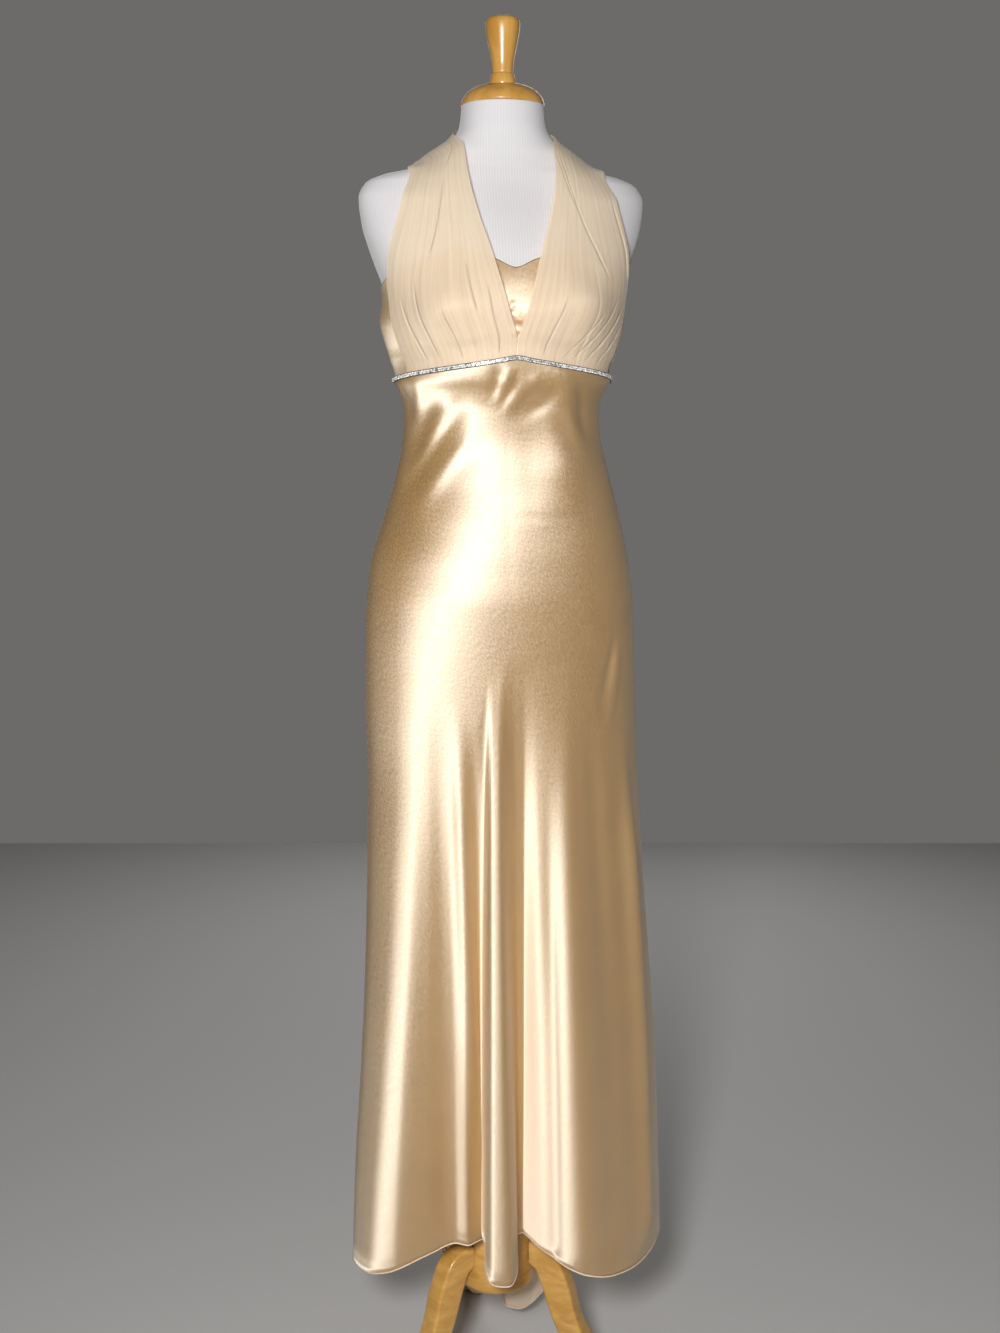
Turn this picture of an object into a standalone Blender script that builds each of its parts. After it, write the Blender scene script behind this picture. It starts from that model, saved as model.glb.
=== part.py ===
"""An evening gown on a limbless dress form with a three-legged wooden stand.

The gown is a bias-cut satin skirt in two long panels that start at an empire seam, a satin bandeau
in a front and a back piece, two gathered chiffon halter panels that meet a band behind the neck,
and a trim band on the front of the seam. The form is a torso with shoulders and no arms, with a
turned neck cap and finial, on a pole, a turned hub and three legs.

Metres, +Z up. Everything is laid out about the form's upright axis, with the gown's front at -Y.
An angle is in degrees round that axis, 0 at the front and growing towards +X, the wearer's left.
"""

import bisect
import math
from collections import namedtuple

import bmesh
import bpy
import numpy as np
from mathutils import Vector

# ---- Driving sizes -------------------------------------------------------------------------------

SATIN = 0.0016  # thickness of the satin walls
CHIFFON = 0.0012  # thickness of the chiffon walls
SEAM_GAP = 0.0004  # between two pieces sewn edge to edge
REST_GAP = 0.0022  # between the satin and the form under it
NECK_GAP = 0.0005  # between the neck band and the form that carries it
SHOULDER_GAP = 0.0022  # between the chiffon and the form's shoulder
LAYER_GAP = 0.0015  # between the bandeau and the chiffon over it
PART_GAP = 0.0003  # between two wooden parts that meet
BODY_SQUARENESS = 2.2  # exponent of a section's outline: 2 is an ellipse

Body = namedtuple("Body", "height side front back")
FORM = [
    Body(1.060, 0.1800, 0.108, 0.113),
    Body(1.100, 0.1835, 0.112, 0.119),
    Body(1.160, 0.1860, 0.116, 0.125),
    Body(1.220, 0.1840, 0.118, 0.126),
    Body(1.278, 0.1760, 0.114, 0.119),
    Body(1.335, 0.1620, 0.107, 0.106),
    Body(1.390, 0.1450, 0.098, 0.094),
    Body(1.430, 0.1340, 0.093, 0.087),
    Body(1.475, 0.1290, 0.091, 0.084),
    Body(1.530, 0.1410, 0.099, 0.092),
    Body(1.590, 0.1520, 0.114, 0.100),
    Body(1.620, 0.1590, 0.118, 0.104),
    Body(1.650, 0.1655, 0.115, 0.107),
    Body(1.700, 0.1840, 0.102, 0.108),
    Body(1.740, 0.1962, 0.085, 0.101),
    Body(1.775, 0.2002, 0.068, 0.091),
    Body(1.795, 0.1905, 0.060, 0.083),
    Body(1.806, 0.1665, 0.057, 0.078),
    Body(1.815, 0.1260, 0.055, 0.073),
    Body(1.832, 0.1000, 0.053, 0.067),
    Body(1.850, 0.0740, 0.053, 0.064),
    Body(1.872, 0.0600, 0.055, 0.063),
    Body(1.900, 0.0565, 0.055, 0.057),
]
FINE_FORM_FROM = 1.530  # above this height the torso has a ring between each two rows
BUST_ANGLE, BUST_HEIGHT = 37.0, 1.628
BUST_RISE, BUST_SPREAD_ANGLE, BUST_SPREAD_HEIGHT = 0.022, 19.0, 0.044
SIDE_EASE = 0.014  # how far the bandeau stands off the form under the arms
SIDE_EASE_HEIGHT, SIDE_EASE_ABOVE, SIDE_EASE_BELOW = 1.602, 0.030, 0.060
SIDE_EASE_ROUND = 0.26  # cosine of the angle at which it has mostly faded
SIDE_EASE_GROWS = 0.030  # height above the seam over which it sets in
TUCK = 0.0022  # the bandeau's lower edge lies this far inside the skirt's top edge
SETTLE_FROM, SETTLE_OVER = 0.004, 0.060  # height above the seam at which it settles on the form

# The middle of the satin wall. Left and right are the viewer's, so left is at -X.
Cloth = namedtuple("Cloth", "height left right front back")
GOWN = [
    Cloth(0.040, 0.2320, 0.2480, 0.162, 0.215),
    Cloth(0.249, 0.2270, 0.2430, 0.157, 0.200),
    Cloth(0.386, 0.2220, 0.2380, 0.151, 0.185),
    Cloth(0.545, 0.2115, 0.2315, 0.144, 0.165),
    Cloth(0.700, 0.2035, 0.2200, 0.137, 0.148),
    Cloth(0.852, 0.1990, 0.2070, 0.131, 0.137),
    Cloth(0.987, 0.1965, 0.1990, 0.127, 0.132),
    Cloth(1.075, 0.1990, 0.1950, 0.126, 0.132),
    Cloth(1.163, 0.1985, 0.1920, 0.126, 0.134),
    Cloth(1.221, 0.1955, 0.1890, 0.126, 0.133),
    Cloth(1.278, 0.1890, 0.1815, 0.122, 0.126),
    Cloth(1.335, 0.1715, 0.1695, 0.115, 0.114),
    Cloth(1.392, 0.1540, 0.1545, 0.106, 0.101),
    Cloth(1.448, 0.1420, 0.1405, 0.101, 0.093),
    Cloth(1.490, 0.1395, 0.1370, 0.104, 0.092),
    Cloth(1.514, 0.1450, 0.1435, 0.110, 0.096),
    Cloth(1.530, 0.1535, 0.1520, 0.117, 0.101),
    Cloth(1.560, 0.1555, 0.1545, 0.122, 0.104),
]

# The chiffon hangs straight from the bust to the neck, clear of the chest between them.
HALTER = [
    Body(1.530, 0.1545, 0.119, 0.104),
    Body(1.560, 0.1565, 0.124, 0.104),
    Body(1.590, 0.1610, 0.132, 0.104),
    Body(1.620, 0.1665, 0.136, 0.104),
    Body(1.650, 0.1730, 0.134, 0.104),
    Body(1.684, 0.1810, 0.126, 0.100),
    Body(1.725, 0.1930, 0.112, 0.094),
    Body(1.765, 0.1950, 0.098, 0.086),
    Body(1.793, 0.1630, 0.088, 0.080),
    Body(1.816, 0.1250, 0.079, 0.072),
    Body(1.836, 0.0950, 0.072, 0.066),
    Body(1.855, 0.0700, 0.065, 0.062),
    Body(1.890, 0.0560, 0.058, 0.060),
]
CHIFFON_LIFT = 0.004  # the chiffon lies this much higher than the shoulder under it
STEEP_FROM, STEEP_OVER = 1.845, 0.025  # the neck rises steeply here, and the lift mostly fades
STEEP_LIFT = 0.2  # share of the lift that is left there
LIFT_OFF_OVER = 0.030  # height above the bandeau over which the chiffon leaves it
NECK_GAP_AT, NECK_GAP_OVER = 158.0, 25.0  # angle at which the strap has closed in on the neck
STRAIGHT_FALL = 26  # how sharply the free fall takes over from what lies under it

# Empire seam and hem, as heights round the gown.
Edge = namedtuple("Edge", "angle height")
SEAM = [
    Edge(-90, 1.530),
    Edge(-60, 1.5385),
    Edge(-30, 1.5475),
    Edge(-10, 1.554),
    Edge(0, 1.5575),
    Edge(10, 1.554),
    Edge(30, 1.5475),
    Edge(60, 1.5385),
    Edge(90, 1.530),
]
BANDEAU_TOP = [
    Edge(-90, 1.655),
    Edge(-62, 1.678),
    Edge(-38, 1.699),
    Edge(-14, 1.687),
    Edge(0, 1.676),
    Edge(14, 1.687),
    Edge(38, 1.699),
    Edge(62, 1.678),
    Edge(90, 1.655),
]
BANDEAU_HIGHEST = max(edge.height for edge in BANDEAU_TOP)
BACK_BAND_TOP = [
    Edge(90, 1.655),
    Edge(115, 1.638),
    Edge(150, 1.618),
    Edge(180, 1.612),
    Edge(210, 1.618),
    Edge(245, 1.638),
    Edge(270, 1.655),
]
BACK_SEAM_HEIGHT = 1.530
HEM = [
    Edge(-90, 0.243),
    Edge(-80, 0.250),
    Edge(-69, 0.258),
    Edge(-57, 0.272),
    Edge(-46, 0.295),
    Edge(-38, 0.304),
    Edge(-23, 0.302),
    Edge(-9.5, 0.2885),
    Edge(8.5, 0.297),
    Edge(16, 0.298),
    Edge(23, 0.290),
    Edge(35, 0.279),
    Edge(48, 0.275),
    Edge(66, 0.274),
    Edge(90, 0.250),
    Edge(120, 0.165),
    Edge(143, 0.085),
    Edge(160, 0.052),
    Edge(187, 0.085),
    Edge(198, 0.118),
    Edge(210, 0.158),
    Edge(240, 0.185),
    Edge(270, 0.243),
]

# The folds of the skirt, from side seam to side seam. At each hem angle: where its column of cloth
# runs at the hip, how far the hem stands from the axis, and the height at which the fold starts.
Fold = namedtuple("Fold", "hem_angle hip_angle radius start")
FRONT_FOLDS = [
    Fold(-90, -90, 0.2265, 1.10),
    Fold(-78, -78, 0.2320, 1.12),
    Fold(-65, -66, 0.2335, 1.13),
    Fold(-55, -58, 0.2190, 1.14),
    Fold(-47, -51, 0.1820, 1.14),
    Fold(-41, -45, 0.1500, 1.13),
    Fold(-36, -39, 0.1410, 1.10),
    Fold(-30, -33, 0.1400, 1.07),
    Fold(-24, -25, 0.1120, 1.06),
    Fold(-20, -21, 0.1270, 1.09),
    Fold(-15.5, -17, 0.1960, 1.13),
    Fold(-12.5, -15.5, 0.2150, 1.13),
    Fold(-6.5, -13, 0.2172, 1.13),
    Fold(-3.5, -11, 0.1950, 1.14),
    Fold(1, -7, 0.1220, 1.15),
    Fold(6, -2, 0.0870, 1.16),
    Fold(11, 3, 0.0870, 1.16),
    Fold(14.5, 13, 0.1500, 1.16),
    Fold(18, 23, 0.2000, 1.15),
    Fold(23, 31, 0.2230, 1.15),
    Fold(30, 37, 0.2310, 1.14),
    Fold(46, 49, 0.2340, 1.14),
    Fold(66, 67, 0.2345, 1.13),
    Fold(90, 90, 0.2430, 1.10),
]
BACK_FOLDS = [
    Fold(90, 90, 0.2430, 1.10),
    Fold(111, 110, 0.2430, 1.08),
    Fold(127, 124, 0.2420, 1.08),
    Fold(138, 132, 0.1960, 1.06),
    Fold(150, 142, 0.1330, 1.05),
    Fold(168, 160, 0.1330, 1.06),
    Fold(176, 171, 0.2300, 1.09),
    Fold(181, 176, 0.2470, 1.10),
    Fold(194, 186, 0.2470, 1.09),
    Fold(202, 196, 0.1850, 1.02),
    Fold(208, 205, 0.1700, 1.00),
    Fold(215, 213, 0.2000, 1.01),
    Fold(223, 222, 0.2390, 1.02),
    Fold(236, 235, 0.2390, 1.00),
    Fold(247, 246, 0.2010, 0.90),
    Fold(252, 251, 0.2010, 0.92),
    Fold(262, 262, 0.2220, 1.05),
    Fold(270, 270, 0.2265, 1.10),
]
HIP = 1.22  # below this the cloth hangs free
DRAPE = 1.25  # how late a fold deepens on its way down: 1 is a steady widening
SKIRT_RADIUS, BODICE_RADIUS = 0.20, 0.15  # at the side seams, for turning their gap into an angle
FRONT_COLUMNS, FRONT_ROWS = 52, 18
BACK_COLUMNS, BACK_ROWS = 40, 15
ROW_CROWDING = 1.35  # rows lie closer together towards the waist

# A halter panel, from the seam over the bust and the shoulder to the band behind the neck.
Station = namedtuple("Station", "along inner_angle inner_height outer_angle outer_height")
HALTER_STATIONS = [
    Station(0.00, 0.25, 1.5575, 69.0, 1.5355),
    Station(0.10, 0.25, 1.5790, 71.5, 1.5720),
    Station(0.20, 4.5, 1.6150, 73.5, 1.6060),
    Station(0.32, 10.0, 1.6600, 73.0, 1.6460),
    Station(0.44, 16.5, 1.7030, 70.0, 1.6840),
    Station(0.56, 24.0, 1.7400, 66.5, 1.7240),
    Station(0.68, 31.0, 1.7740, 65.5, 1.7610),
    Station(0.80, 38.5, 1.8080, 69.5, 1.7960),
    Station(0.90, 50.0, 1.8420, 78.0, 1.8150),
    Station(1.00, 84.0, 1.8620, 96.0, 1.8265),
    Station(1.10, 122.0, 1.8730, 128.0, 1.8330),
    Station(1.20, 160.0, 1.8790, 160.0, 1.8430),
]
HALTER_ROWS = (
    (0, 0.035, 0.08, 0.15, 0.24, 0.36, 0.49, 0.62, 0.74)
    + (0.82, 0.88, 0.93, 0.97, 1.01, 1.05, 1.10, 1.15, 1.20)
)  # along the panel, closer where it bends over the shoulder
GATHERS = 11
COLUMNS_PER_GATHER = 3
GATHER_DEPTH, SEWN_GATHER_DEPTH = 0.0022, 0.0006
TIGHTEST_GATHER = 0.0012  # radius of the sharpest bend of a gather
GATHERS_OPEN_OVER = 0.030  # height above the trim over which they reach their full depth
NECK_BAND_START, NECK_BAND_END = 160.8, 199.2

TRIM_WIDTH, TRIM_THICKNESS = 0.0066, 0.0016
TRIM_END_ANGLE = 88.5

# The wooden parts.
POLE_RADIUS = 0.0125
POLE_OFFSET = Vector((-0.0080, 0.0012, 0.0))  # the pole stands a little off the torso's middle
HUB_BOTTOM, HUB_TOP, HUB_RADIUS, HUB_EDGE = 0.180, 0.284, 0.057, 0.012
LEG_ANGLES = (-60.0, 60.0, 180.0)
LEG_THICKNESS = 0.032
LegPoint = namedtuple("LegPoint", "reach height width")
LEG = [
    LegPoint(0.0573, 0.2400, 0.034),
    LegPoint(0.0800, 0.2300, 0.042),
    LegPoint(0.0990, 0.1900, 0.043),
    LegPoint(0.1100, 0.1520, 0.040),
    LegPoint(0.1260, 0.1170, 0.036),
    LegPoint(0.1540, 0.0870, 0.033),
    LegPoint(0.1950, 0.0640, 0.030),
    LegPoint(0.2400, 0.0450, 0.028),
    LegPoint(0.2700, 0.0260, 0.026),
    LegPoint(0.2830, 0.0135, 0.025),
    LegPoint(0.3040, 0.0085, 0.020),
]
LEG_STEPS = 26
NECK_CAP = [  # radius, height: underside, rim and dome
    (0.0000, 1.9003),
    (0.0560, 1.9003),
    (0.0570, 1.9040),
    (0.0530, 1.9120),
    (0.0472, 1.9182),
    (0.0370, 1.9240),
    (0.0190, 1.9280),
    (0.0000, 1.9280),
]
FINIAL = [  # radius, height: collar, groove, flare and crown
    (0.0000, 1.9283),
    (0.0178, 1.9283),
    (0.0183, 1.9310),
    (0.0160, 1.9400),
    (0.0136, 1.9435),
    (0.0145, 1.9530),
    (0.0169, 1.9676),
    (0.0213, 1.9890),
    (0.0236, 2.0080),
    (0.0215, 2.0140),
    (0.0130, 2.0175),
    (0.0000, 2.0185),
]

# ---- Smooth curves through the tables ------------------------------------------------------------


def eased(share):
    """0 to 1 with level ends."""
    share = min(max(share, 0.0), 1.0)
    return share * share * (3 - 2 * share)


def steady_slopes(places, values):
    """Slopes for a cubic that never swings past its points."""
    rises = [
        (b - a) / (q - p) for p, q, a, b in zip(places, places[1:], values, values[1:])
    ]
    slopes = [rises[0]]
    for before, after in zip(rises, rises[1:]):
        same_way = before * after > 0
        slopes.append(2 * before * after / (before + after) if same_way else 0.0)
    return slopes + [rises[-1]]


class Curve:
    """A smooth curve of each named column of a table over its first column."""

    def __init__(self, rows):
        self.places = [row[0] for row in rows]
        self.columns = {}
        for name in rows[0]._fields[1:]:
            values = [getattr(row, name) for row in rows]
            self.columns[name] = (values, steady_slopes(self.places, values))

    def at(self, place, name):
        places = self.places
        place = min(max(place, places[0]), places[-1])
        i = min(bisect.bisect_right(places, place), len(places) - 1) - 1
        values, slopes = self.columns[name]
        width = places[i + 1] - places[i]
        t = (place - places[i]) / width
        return (
            (1 + 2 * t) * (1 - t) ** 2 * values[i]
            + t * (1 - t) ** 2 * width * slopes[i]
            + t * t * (3 - 2 * t) * values[i + 1]
            + t * t * (t - 1) * width * slopes[i + 1]
        )


FORM_CURVE = Curve(FORM)
GOWN_CURVE = Curve(GOWN)
HALTER_CURVE = Curve(HALTER)
SEAM_CURVE = Curve(SEAM)
BANDEAU_CURVE = Curve(BANDEAU_TOP)
BACK_BAND_CURVE = Curve(BACK_BAND_TOP)
HEM_CURVE = Curve(HEM)
STATION_CURVE = Curve(HALTER_STATIONS)
LEG_CURVE = Curve(LEG)

# ---- Surfaces, as a distance from the axis at an angle and a height ------------------------------


def outline(angle, side, depth):
    """Distance from the axis to a section's outline."""
    across = abs(math.sin(math.radians(angle))) / side
    along = abs(math.cos(math.radians(angle))) / depth
    total = across**BODY_SQUARENESS + along**BODY_SQUARENESS
    return total ** (-1 / BODY_SQUARENESS)


def faces_front(angle):
    return math.cos(math.radians(angle)) > 0


def body_section(curve, angle, height):
    depth = curve.at(height, "front" if faces_front(angle) else "back")
    return outline(angle, curve.at(height, "side"), depth)


def bust(angle, height):
    """How far the bust stands out of the form's plain section."""
    if not faces_front(angle):
        return 0.0
    up = ((height - BUST_HEIGHT) / BUST_SPREAD_HEIGHT) ** 2
    rise = 0.0
    for apex in (-BUST_ANGLE, BUST_ANGLE):
        rise += math.exp(-(((angle - apex) / BUST_SPREAD_ANGLE) ** 2) - up)
    return BUST_RISE * rise


def form_radius(angle, height):
    return body_section(FORM_CURVE, angle, height) + bust(angle, height)


def gown_radius(angle, height):
    side = "right" if math.sin(math.radians(angle)) > 0 else "left"
    depth = "front" if faces_front(angle) else "back"
    return outline(angle, GOWN_CURVE.at(height, side), GOWN_CURVE.at(height, depth))


def seam_height(angle):
    return SEAM_CURVE.at(angle, "height") if faces_front(angle) else BACK_SEAM_HEIGHT


def bandeau_radius(angle, height):
    """The bandeau lies on the form above, and its lower edge stands off with the seam."""
    seam = seam_height(angle)
    lower_edge = gown_radius(angle, seam) - TUCK
    on_form = form_radius(angle, height) + REST_GAP + SATIN / 2
    share = eased((height - seam - SETTLE_FROM) / SETTLE_OVER)
    spread = SIDE_EASE_ABOVE if height > SIDE_EASE_HEIGHT else SIDE_EASE_BELOW
    up = ((height - SIDE_EASE_HEIGHT) / spread) ** 2
    round_side = (math.cos(math.radians(angle)) / SIDE_EASE_ROUND) ** 2
    ease = SIDE_EASE * math.exp(-round_side - up) * eased((height - seam) / SIDE_EASE_GROWS)
    return max(lower_edge * (1 - share) + on_form * share, on_form) + ease


def under_chiffon(angle, height):
    """The form's distance from the axis just under the chiffon at a height."""
    steep = eased((height - STEEP_FROM) / STEEP_OVER)
    lift = CHIFFON_LIFT * (1 - (1 - STEEP_LIFT) * steep)
    return form_radius(angle, height - lift)


def halter_radius(angle, height, depth):
    """The chiffon's middle: a straight fall from bust to neck, or just clear of what it lies on.

    Depth is how far its gathers swing in and out there.
    """
    free = body_section(HALTER_CURVE, angle, height)
    on_bandeau = bandeau_radius(angle, height) + SATIN / 2 + LAYER_GAP
    gap = NECK_GAP + (SHOULDER_GAP - NECK_GAP) * eased((NECK_GAP_AT - angle) / NECK_GAP_OVER)
    on_form = under_chiffon(angle, height) + gap
    share = eased((height - BANDEAU_HIGHEST) / LIFT_OFF_OVER)
    under = on_bandeau * (1 - share) + on_form * share + CHIFFON / 2 + depth
    if angle > 90:
        return under
    return (free**STRAIGHT_FALL + under**STRAIGHT_FALL) ** (1 / STRAIGHT_FALL)


def point(angle, radius, height):
    turn = math.radians(angle)
    return Vector((radius * math.sin(turn), -radius * math.cos(turn), height))


# ---- Meshes --------------------------------------------------------------------------------------


def material(name, colour, roughness, metallic=0.0):
    made = bpy.data.materials.new(name)
    made.use_nodes = True
    shader = made.node_tree.nodes["Principled BSDF"]
    shader.inputs["Base Color"].default_value = (*colour, 1)
    shader.inputs["Roughness"].default_value = roughness
    shader.inputs["Metallic"].default_value = metallic
    made.diffuse_color = (*colour, 1)
    return made


def place(name, data, finish, where=(0, 0, 0)):
    made = bpy.data.objects.new(name, data)
    data.materials.append(finish)
    PARTS.objects.link(made)
    made.parent = FRAME
    made.location = where
    return made


def grid_mesh(name, rows, joined=False, capped=False):
    """Quads between rows of points. Joined closes each row to a ring, and capped fills its ends."""
    mesh = bmesh.new()
    lines = [[mesh.verts.new(p) for p in row] for row in rows]
    across = len(rows[0]) if joined else len(rows[0]) - 1
    for low, high in zip(lines, lines[1:]):
        for i in range(across):
            j = (i + 1) % len(low)
            mesh.faces.new((low[i], low[j], high[j], high[i]))
    if capped:
        mesh.faces.new(lines[0][::-1])
        mesh.faces.new(lines[-1])
    bmesh.ops.recalc_face_normals(mesh, faces=mesh.faces)
    data = bpy.data.meshes.new(name)
    mesh.to_mesh(data)
    mesh.free()
    data.shade_smooth()
    return data


def cloth(name, rows, thickness, finish):
    """A wall of cloth about an open surface."""
    made = place(name, grid_mesh(name, rows), finish)
    wall = made.modifiers.new("wall", "SOLIDIFY")
    wall.thickness = thickness
    wall.offset = 0
    return made


def turned(name, profile, steps, finish, where=(0, 0, 0)):
    """A round part from its (radius, height) profile, from the bottom to the top."""
    mesh = bmesh.new()
    ring = [mesh.verts.new((radius, 0, height)) for radius, height in reversed(profile)]
    for a, b in zip(ring, ring[1:]):
        mesh.edges.new((a, b))
    data = bpy.data.meshes.new(name)
    mesh.to_mesh(data)
    mesh.free()
    made = place(name, data, finish, where)
    screw = made.modifiers.new("turning", "SCREW")
    screw.steps = screw.render_steps = steps
    screw.use_merge_vertices = True
    screw.merge_threshold = 0.0001
    screw.use_smooth_shade = True
    return made


def spread_evenly(places, count):
    """count + 1 positions at equal distances along a line of points, as shares of its points."""
    steps = [0.0] + [(b - a).length for a, b in zip(places, places[1:])]
    run = np.cumsum(steps)
    return np.interp(np.linspace(0, run[-1], count + 1), run, np.arange(len(places)))


# ---- The skirt -----------------------------------------------------------------------------------


def skirt_panel(name, folds, columns, rows, finish):
    """A panel between the side seams: smooth over the hip and hanging in folds below it."""
    curve = Curve(folds)
    first, last = folds[0].hem_angle, folds[-1].hem_angle
    fine = np.linspace(first, last, 721)
    hem = [point(a, curve.at(a, "radius"), HEM_CURVE.at(a, "height")) for a in fine]
    shares = spread_evenly(hem, columns)
    seam_inset = math.degrees(SEAM_GAP / 2 / SKIRT_RADIUS)
    grid = []
    for row in range(rows + 1):
        down = (row / rows) ** ROW_CROWDING
        line = []
        for share in shares:
            hem_angle = float(np.interp(share, np.arange(len(fine)), fine))
            hip_angle = curve.at(hem_angle, "hip_angle")
            hem_height = HEM_CURVE.at(hem_angle, "height")
            top = seam_height(hip_angle)
            height = top + (hem_height - top) * down
            fall = min(max((HIP - height) / (HIP - hem_height), 0), 1)
            angle = hip_angle + (hem_angle - hip_angle) * fall
            angle = min(max(angle, first + seam_inset), last - seam_inset)
            start = curve.at(hem_angle, "start")
            depth = curve.at(hem_angle, "radius") - gown_radius(hem_angle, hem_height)
            grown = min(max((start - height) / (start - hem_height), 0), 1) ** DRAPE
            line.append(point(angle, gown_radius(angle, height) + depth * grown, height))
        grid.append(line)
    return cloth(name, grid, SATIN, finish)


# ---- The bandeau, the halter and the trim --------------------------------------------------------


def bandeau_piece(name, first, last, top_curve, columns, rows, finish):
    inset = math.degrees(SEAM_GAP / 2 / BODICE_RADIUS)
    grid = []
    for row in range(rows + 1):
        line = []
        for column in range(columns + 1):
            angle = first + inset + (last - first - 2 * inset) * column / columns
            low = seam_height(angle) + SEAM_GAP
            height = low + (top_curve.at(angle, "height") - low) * row / rows
            line.append(point(angle, bandeau_radius(angle, height), height))
        grid.append(line)
    return cloth(name, grid, SATIN, finish)


def halter_panel(name, side, finish):
    """A gathered chiffon panel, to the viewer's right for side 1 and left for side -1."""
    columns = GATHERS * COLUMNS_PER_GATHER
    rows = []
    for along in HALTER_ROWS:
        ends = [STATION_CURVE.at(along, column) for column in Station._fields[1:]]
        inner_angle, inner_height, outer_angle, outer_height = ends
        places = []
        for column in range(columns + 1):
            across = column / columns
            angle = inner_angle + (outer_angle - inner_angle) * across
            height = inner_height + (outer_height - inner_height) * across
            places.append((angle, seam_height(angle) + SEAM_GAP if along == 0 else height))
        flat = [point(a, halter_radius(a, h, 0), h) for a, h in places]
        pitch = sum((q - p).length for p, q in zip(flat, flat[1:])) / GATHERS
        depth = min(GATHER_DEPTH, pitch**2 / (4 * math.pi**2 * TIGHTEST_GATHER))
        line = []
        for column, (angle, height) in enumerate(places):
            wave = math.sin(2 * math.pi * column / COLUMNS_PER_GATHER)
            seam = seam_height(angle)
            free = eased((height - seam - TRIM_WIDTH) / GATHERS_OPEN_OVER)
            sewn = gown_radius(side * angle, seam) + SEWN_GATHER_DEPTH * wave
            loose = halter_radius(angle, height, depth) + depth * wave
            line.append(point(side * angle, sewn * (1 - free) + loose * free, height))
        rows.append(line)
    return cloth(name, rows, CHIFFON, finish)


def neck_band(finish):
    """The plain band behind the neck that the two halter panels end at."""
    columns, rows = 10, 2
    end = HALTER_STATIONS[-1]
    grid = []
    for row in range(rows + 1):
        height = end.outer_height + (end.inner_height - end.outer_height) * row / rows
        line = []
        for column in range(columns + 1):
            angle = NECK_BAND_START + (NECK_BAND_END - NECK_BAND_START) * column / columns
            radius = under_chiffon(angle, height) + NECK_GAP + CHIFFON / 2
            line.append(point(angle, radius, height))
        grid.append(line)
    return cloth("neck_band", grid, CHIFFON, finish)


def trim_band(finish):
    """A narrow band over the front of the empire seam, laid on the cloth from side to side."""
    columns = 40
    out = SATIN / 2 + SEWN_GATHER_DEPTH + SEAM_GAP + TRIM_THICKNESS / 2
    grid = []
    for edge in (-TRIM_WIDTH / 2, TRIM_WIDTH / 2):
        line = []
        for column in range(columns + 1):
            angle = -TRIM_END_ANGLE + 2 * TRIM_END_ANGLE * column / columns
            seam = seam_height(angle)
            line.append(point(angle, gown_radius(angle, seam) + out, seam + edge))
        grid.append(line)
    return cloth("trim_band", grid, TRIM_THICKNESS, finish)


# ---- The dress form and its stand ----------------------------------------------------------------


def torso(finish):
    columns = 30
    heights = [row.height for row in FORM]
    finer = [(a + b) / 2 for a, b in zip(heights, heights[1:]) if a >= FINE_FORM_FROM]
    rings = []
    for height in sorted(heights + finer):
        ring = []
        for column in range(columns):
            angle = 360 * column / columns - 180
            ring.append(point(angle, form_radius(angle, height), height))
        rings.append(ring)
    return place("form_torso", grid_mesh("form_torso", rings, True, True), finish)


def rounded_disc(bottom, top, radius, edge):
    """Profile of a disc whose rim is rounded above and below."""
    profile = [(0.0, bottom)]
    for centre, turns in ((bottom + edge, (-90, -45, 0)), (top - edge, (0, 45, 90))):
        for turn in turns:
            across = radius - edge + edge * math.cos(math.radians(turn))
            profile.append((across, centre + edge * math.sin(math.radians(turn))))
    return profile + [(0.0, top)]


def leg(number, angle, finish):
    """A flat curved board that stands on its foot."""
    reaches = [row.reach for row in LEG]
    middle = []
    for step in range(LEG_STEPS + 1):
        reach = reaches[0] + (reaches[-1] - reaches[0]) * step / LEG_STEPS
        middle.append(Vector((reach, LEG_CURVE.at(reach, "height"))))
    upper, lower = [], []
    for step, here in enumerate(middle):
        before, after = middle[max(step - 1, 0)], middle[min(step + 1, LEG_STEPS)]
        run = (after - before).normalized()
        if step == 0:
            run = Vector((1, 0))  # the end against the hub is cut upright
        half = LEG_CURVE.at(here.x, "width") / 2
        out = Vector((-run.y, run.x)) * half
        upper.append(here + out)
        lower.append(here - out)
    corners = lower + upper[::-1]
    curve = bpy.data.curves.new(f"leg_{number}", "CURVE")
    curve.dimensions = "2D"
    curve.fill_mode = "BOTH"
    curve.extrude = LEG_THICKNESS / 2
    spline = curve.splines.new("POLY")
    spline.points.add(len(corners) - 1)
    for spot, corner in zip(spline.points, corners):
        spot.co = (corner.x, max(corner.y, 0.0), 0, 1)
    spline.use_cyclic_u = True
    made = place(f"leg_{number}", curve, finish, POLE_OFFSET)
    made.rotation_euler = (math.radians(90), 0, math.radians(angle - 90))
    return made


def stand(wood):
    turned("neck_cap", NECK_CAP, 28, wood)
    turned("finial", FINIAL, 16, wood)
    hub = rounded_disc(HUB_BOTTOM, HUB_TOP, HUB_RADIUS, HUB_EDGE)
    turned("hub", hub, 24, wood, POLE_OFFSET)
    bottom, top = HUB_TOP + PART_GAP, FORM[0].height - PART_GAP
    pole = [(0.0, bottom), (POLE_RADIUS, bottom), (POLE_RADIUS, top), (0.0, top)]
    turned("pole", pole, 12, wood, POLE_OFFSET)
    for number, angle in enumerate(LEG_ANGLES, 1):
        leg(number, angle, wood)


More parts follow.
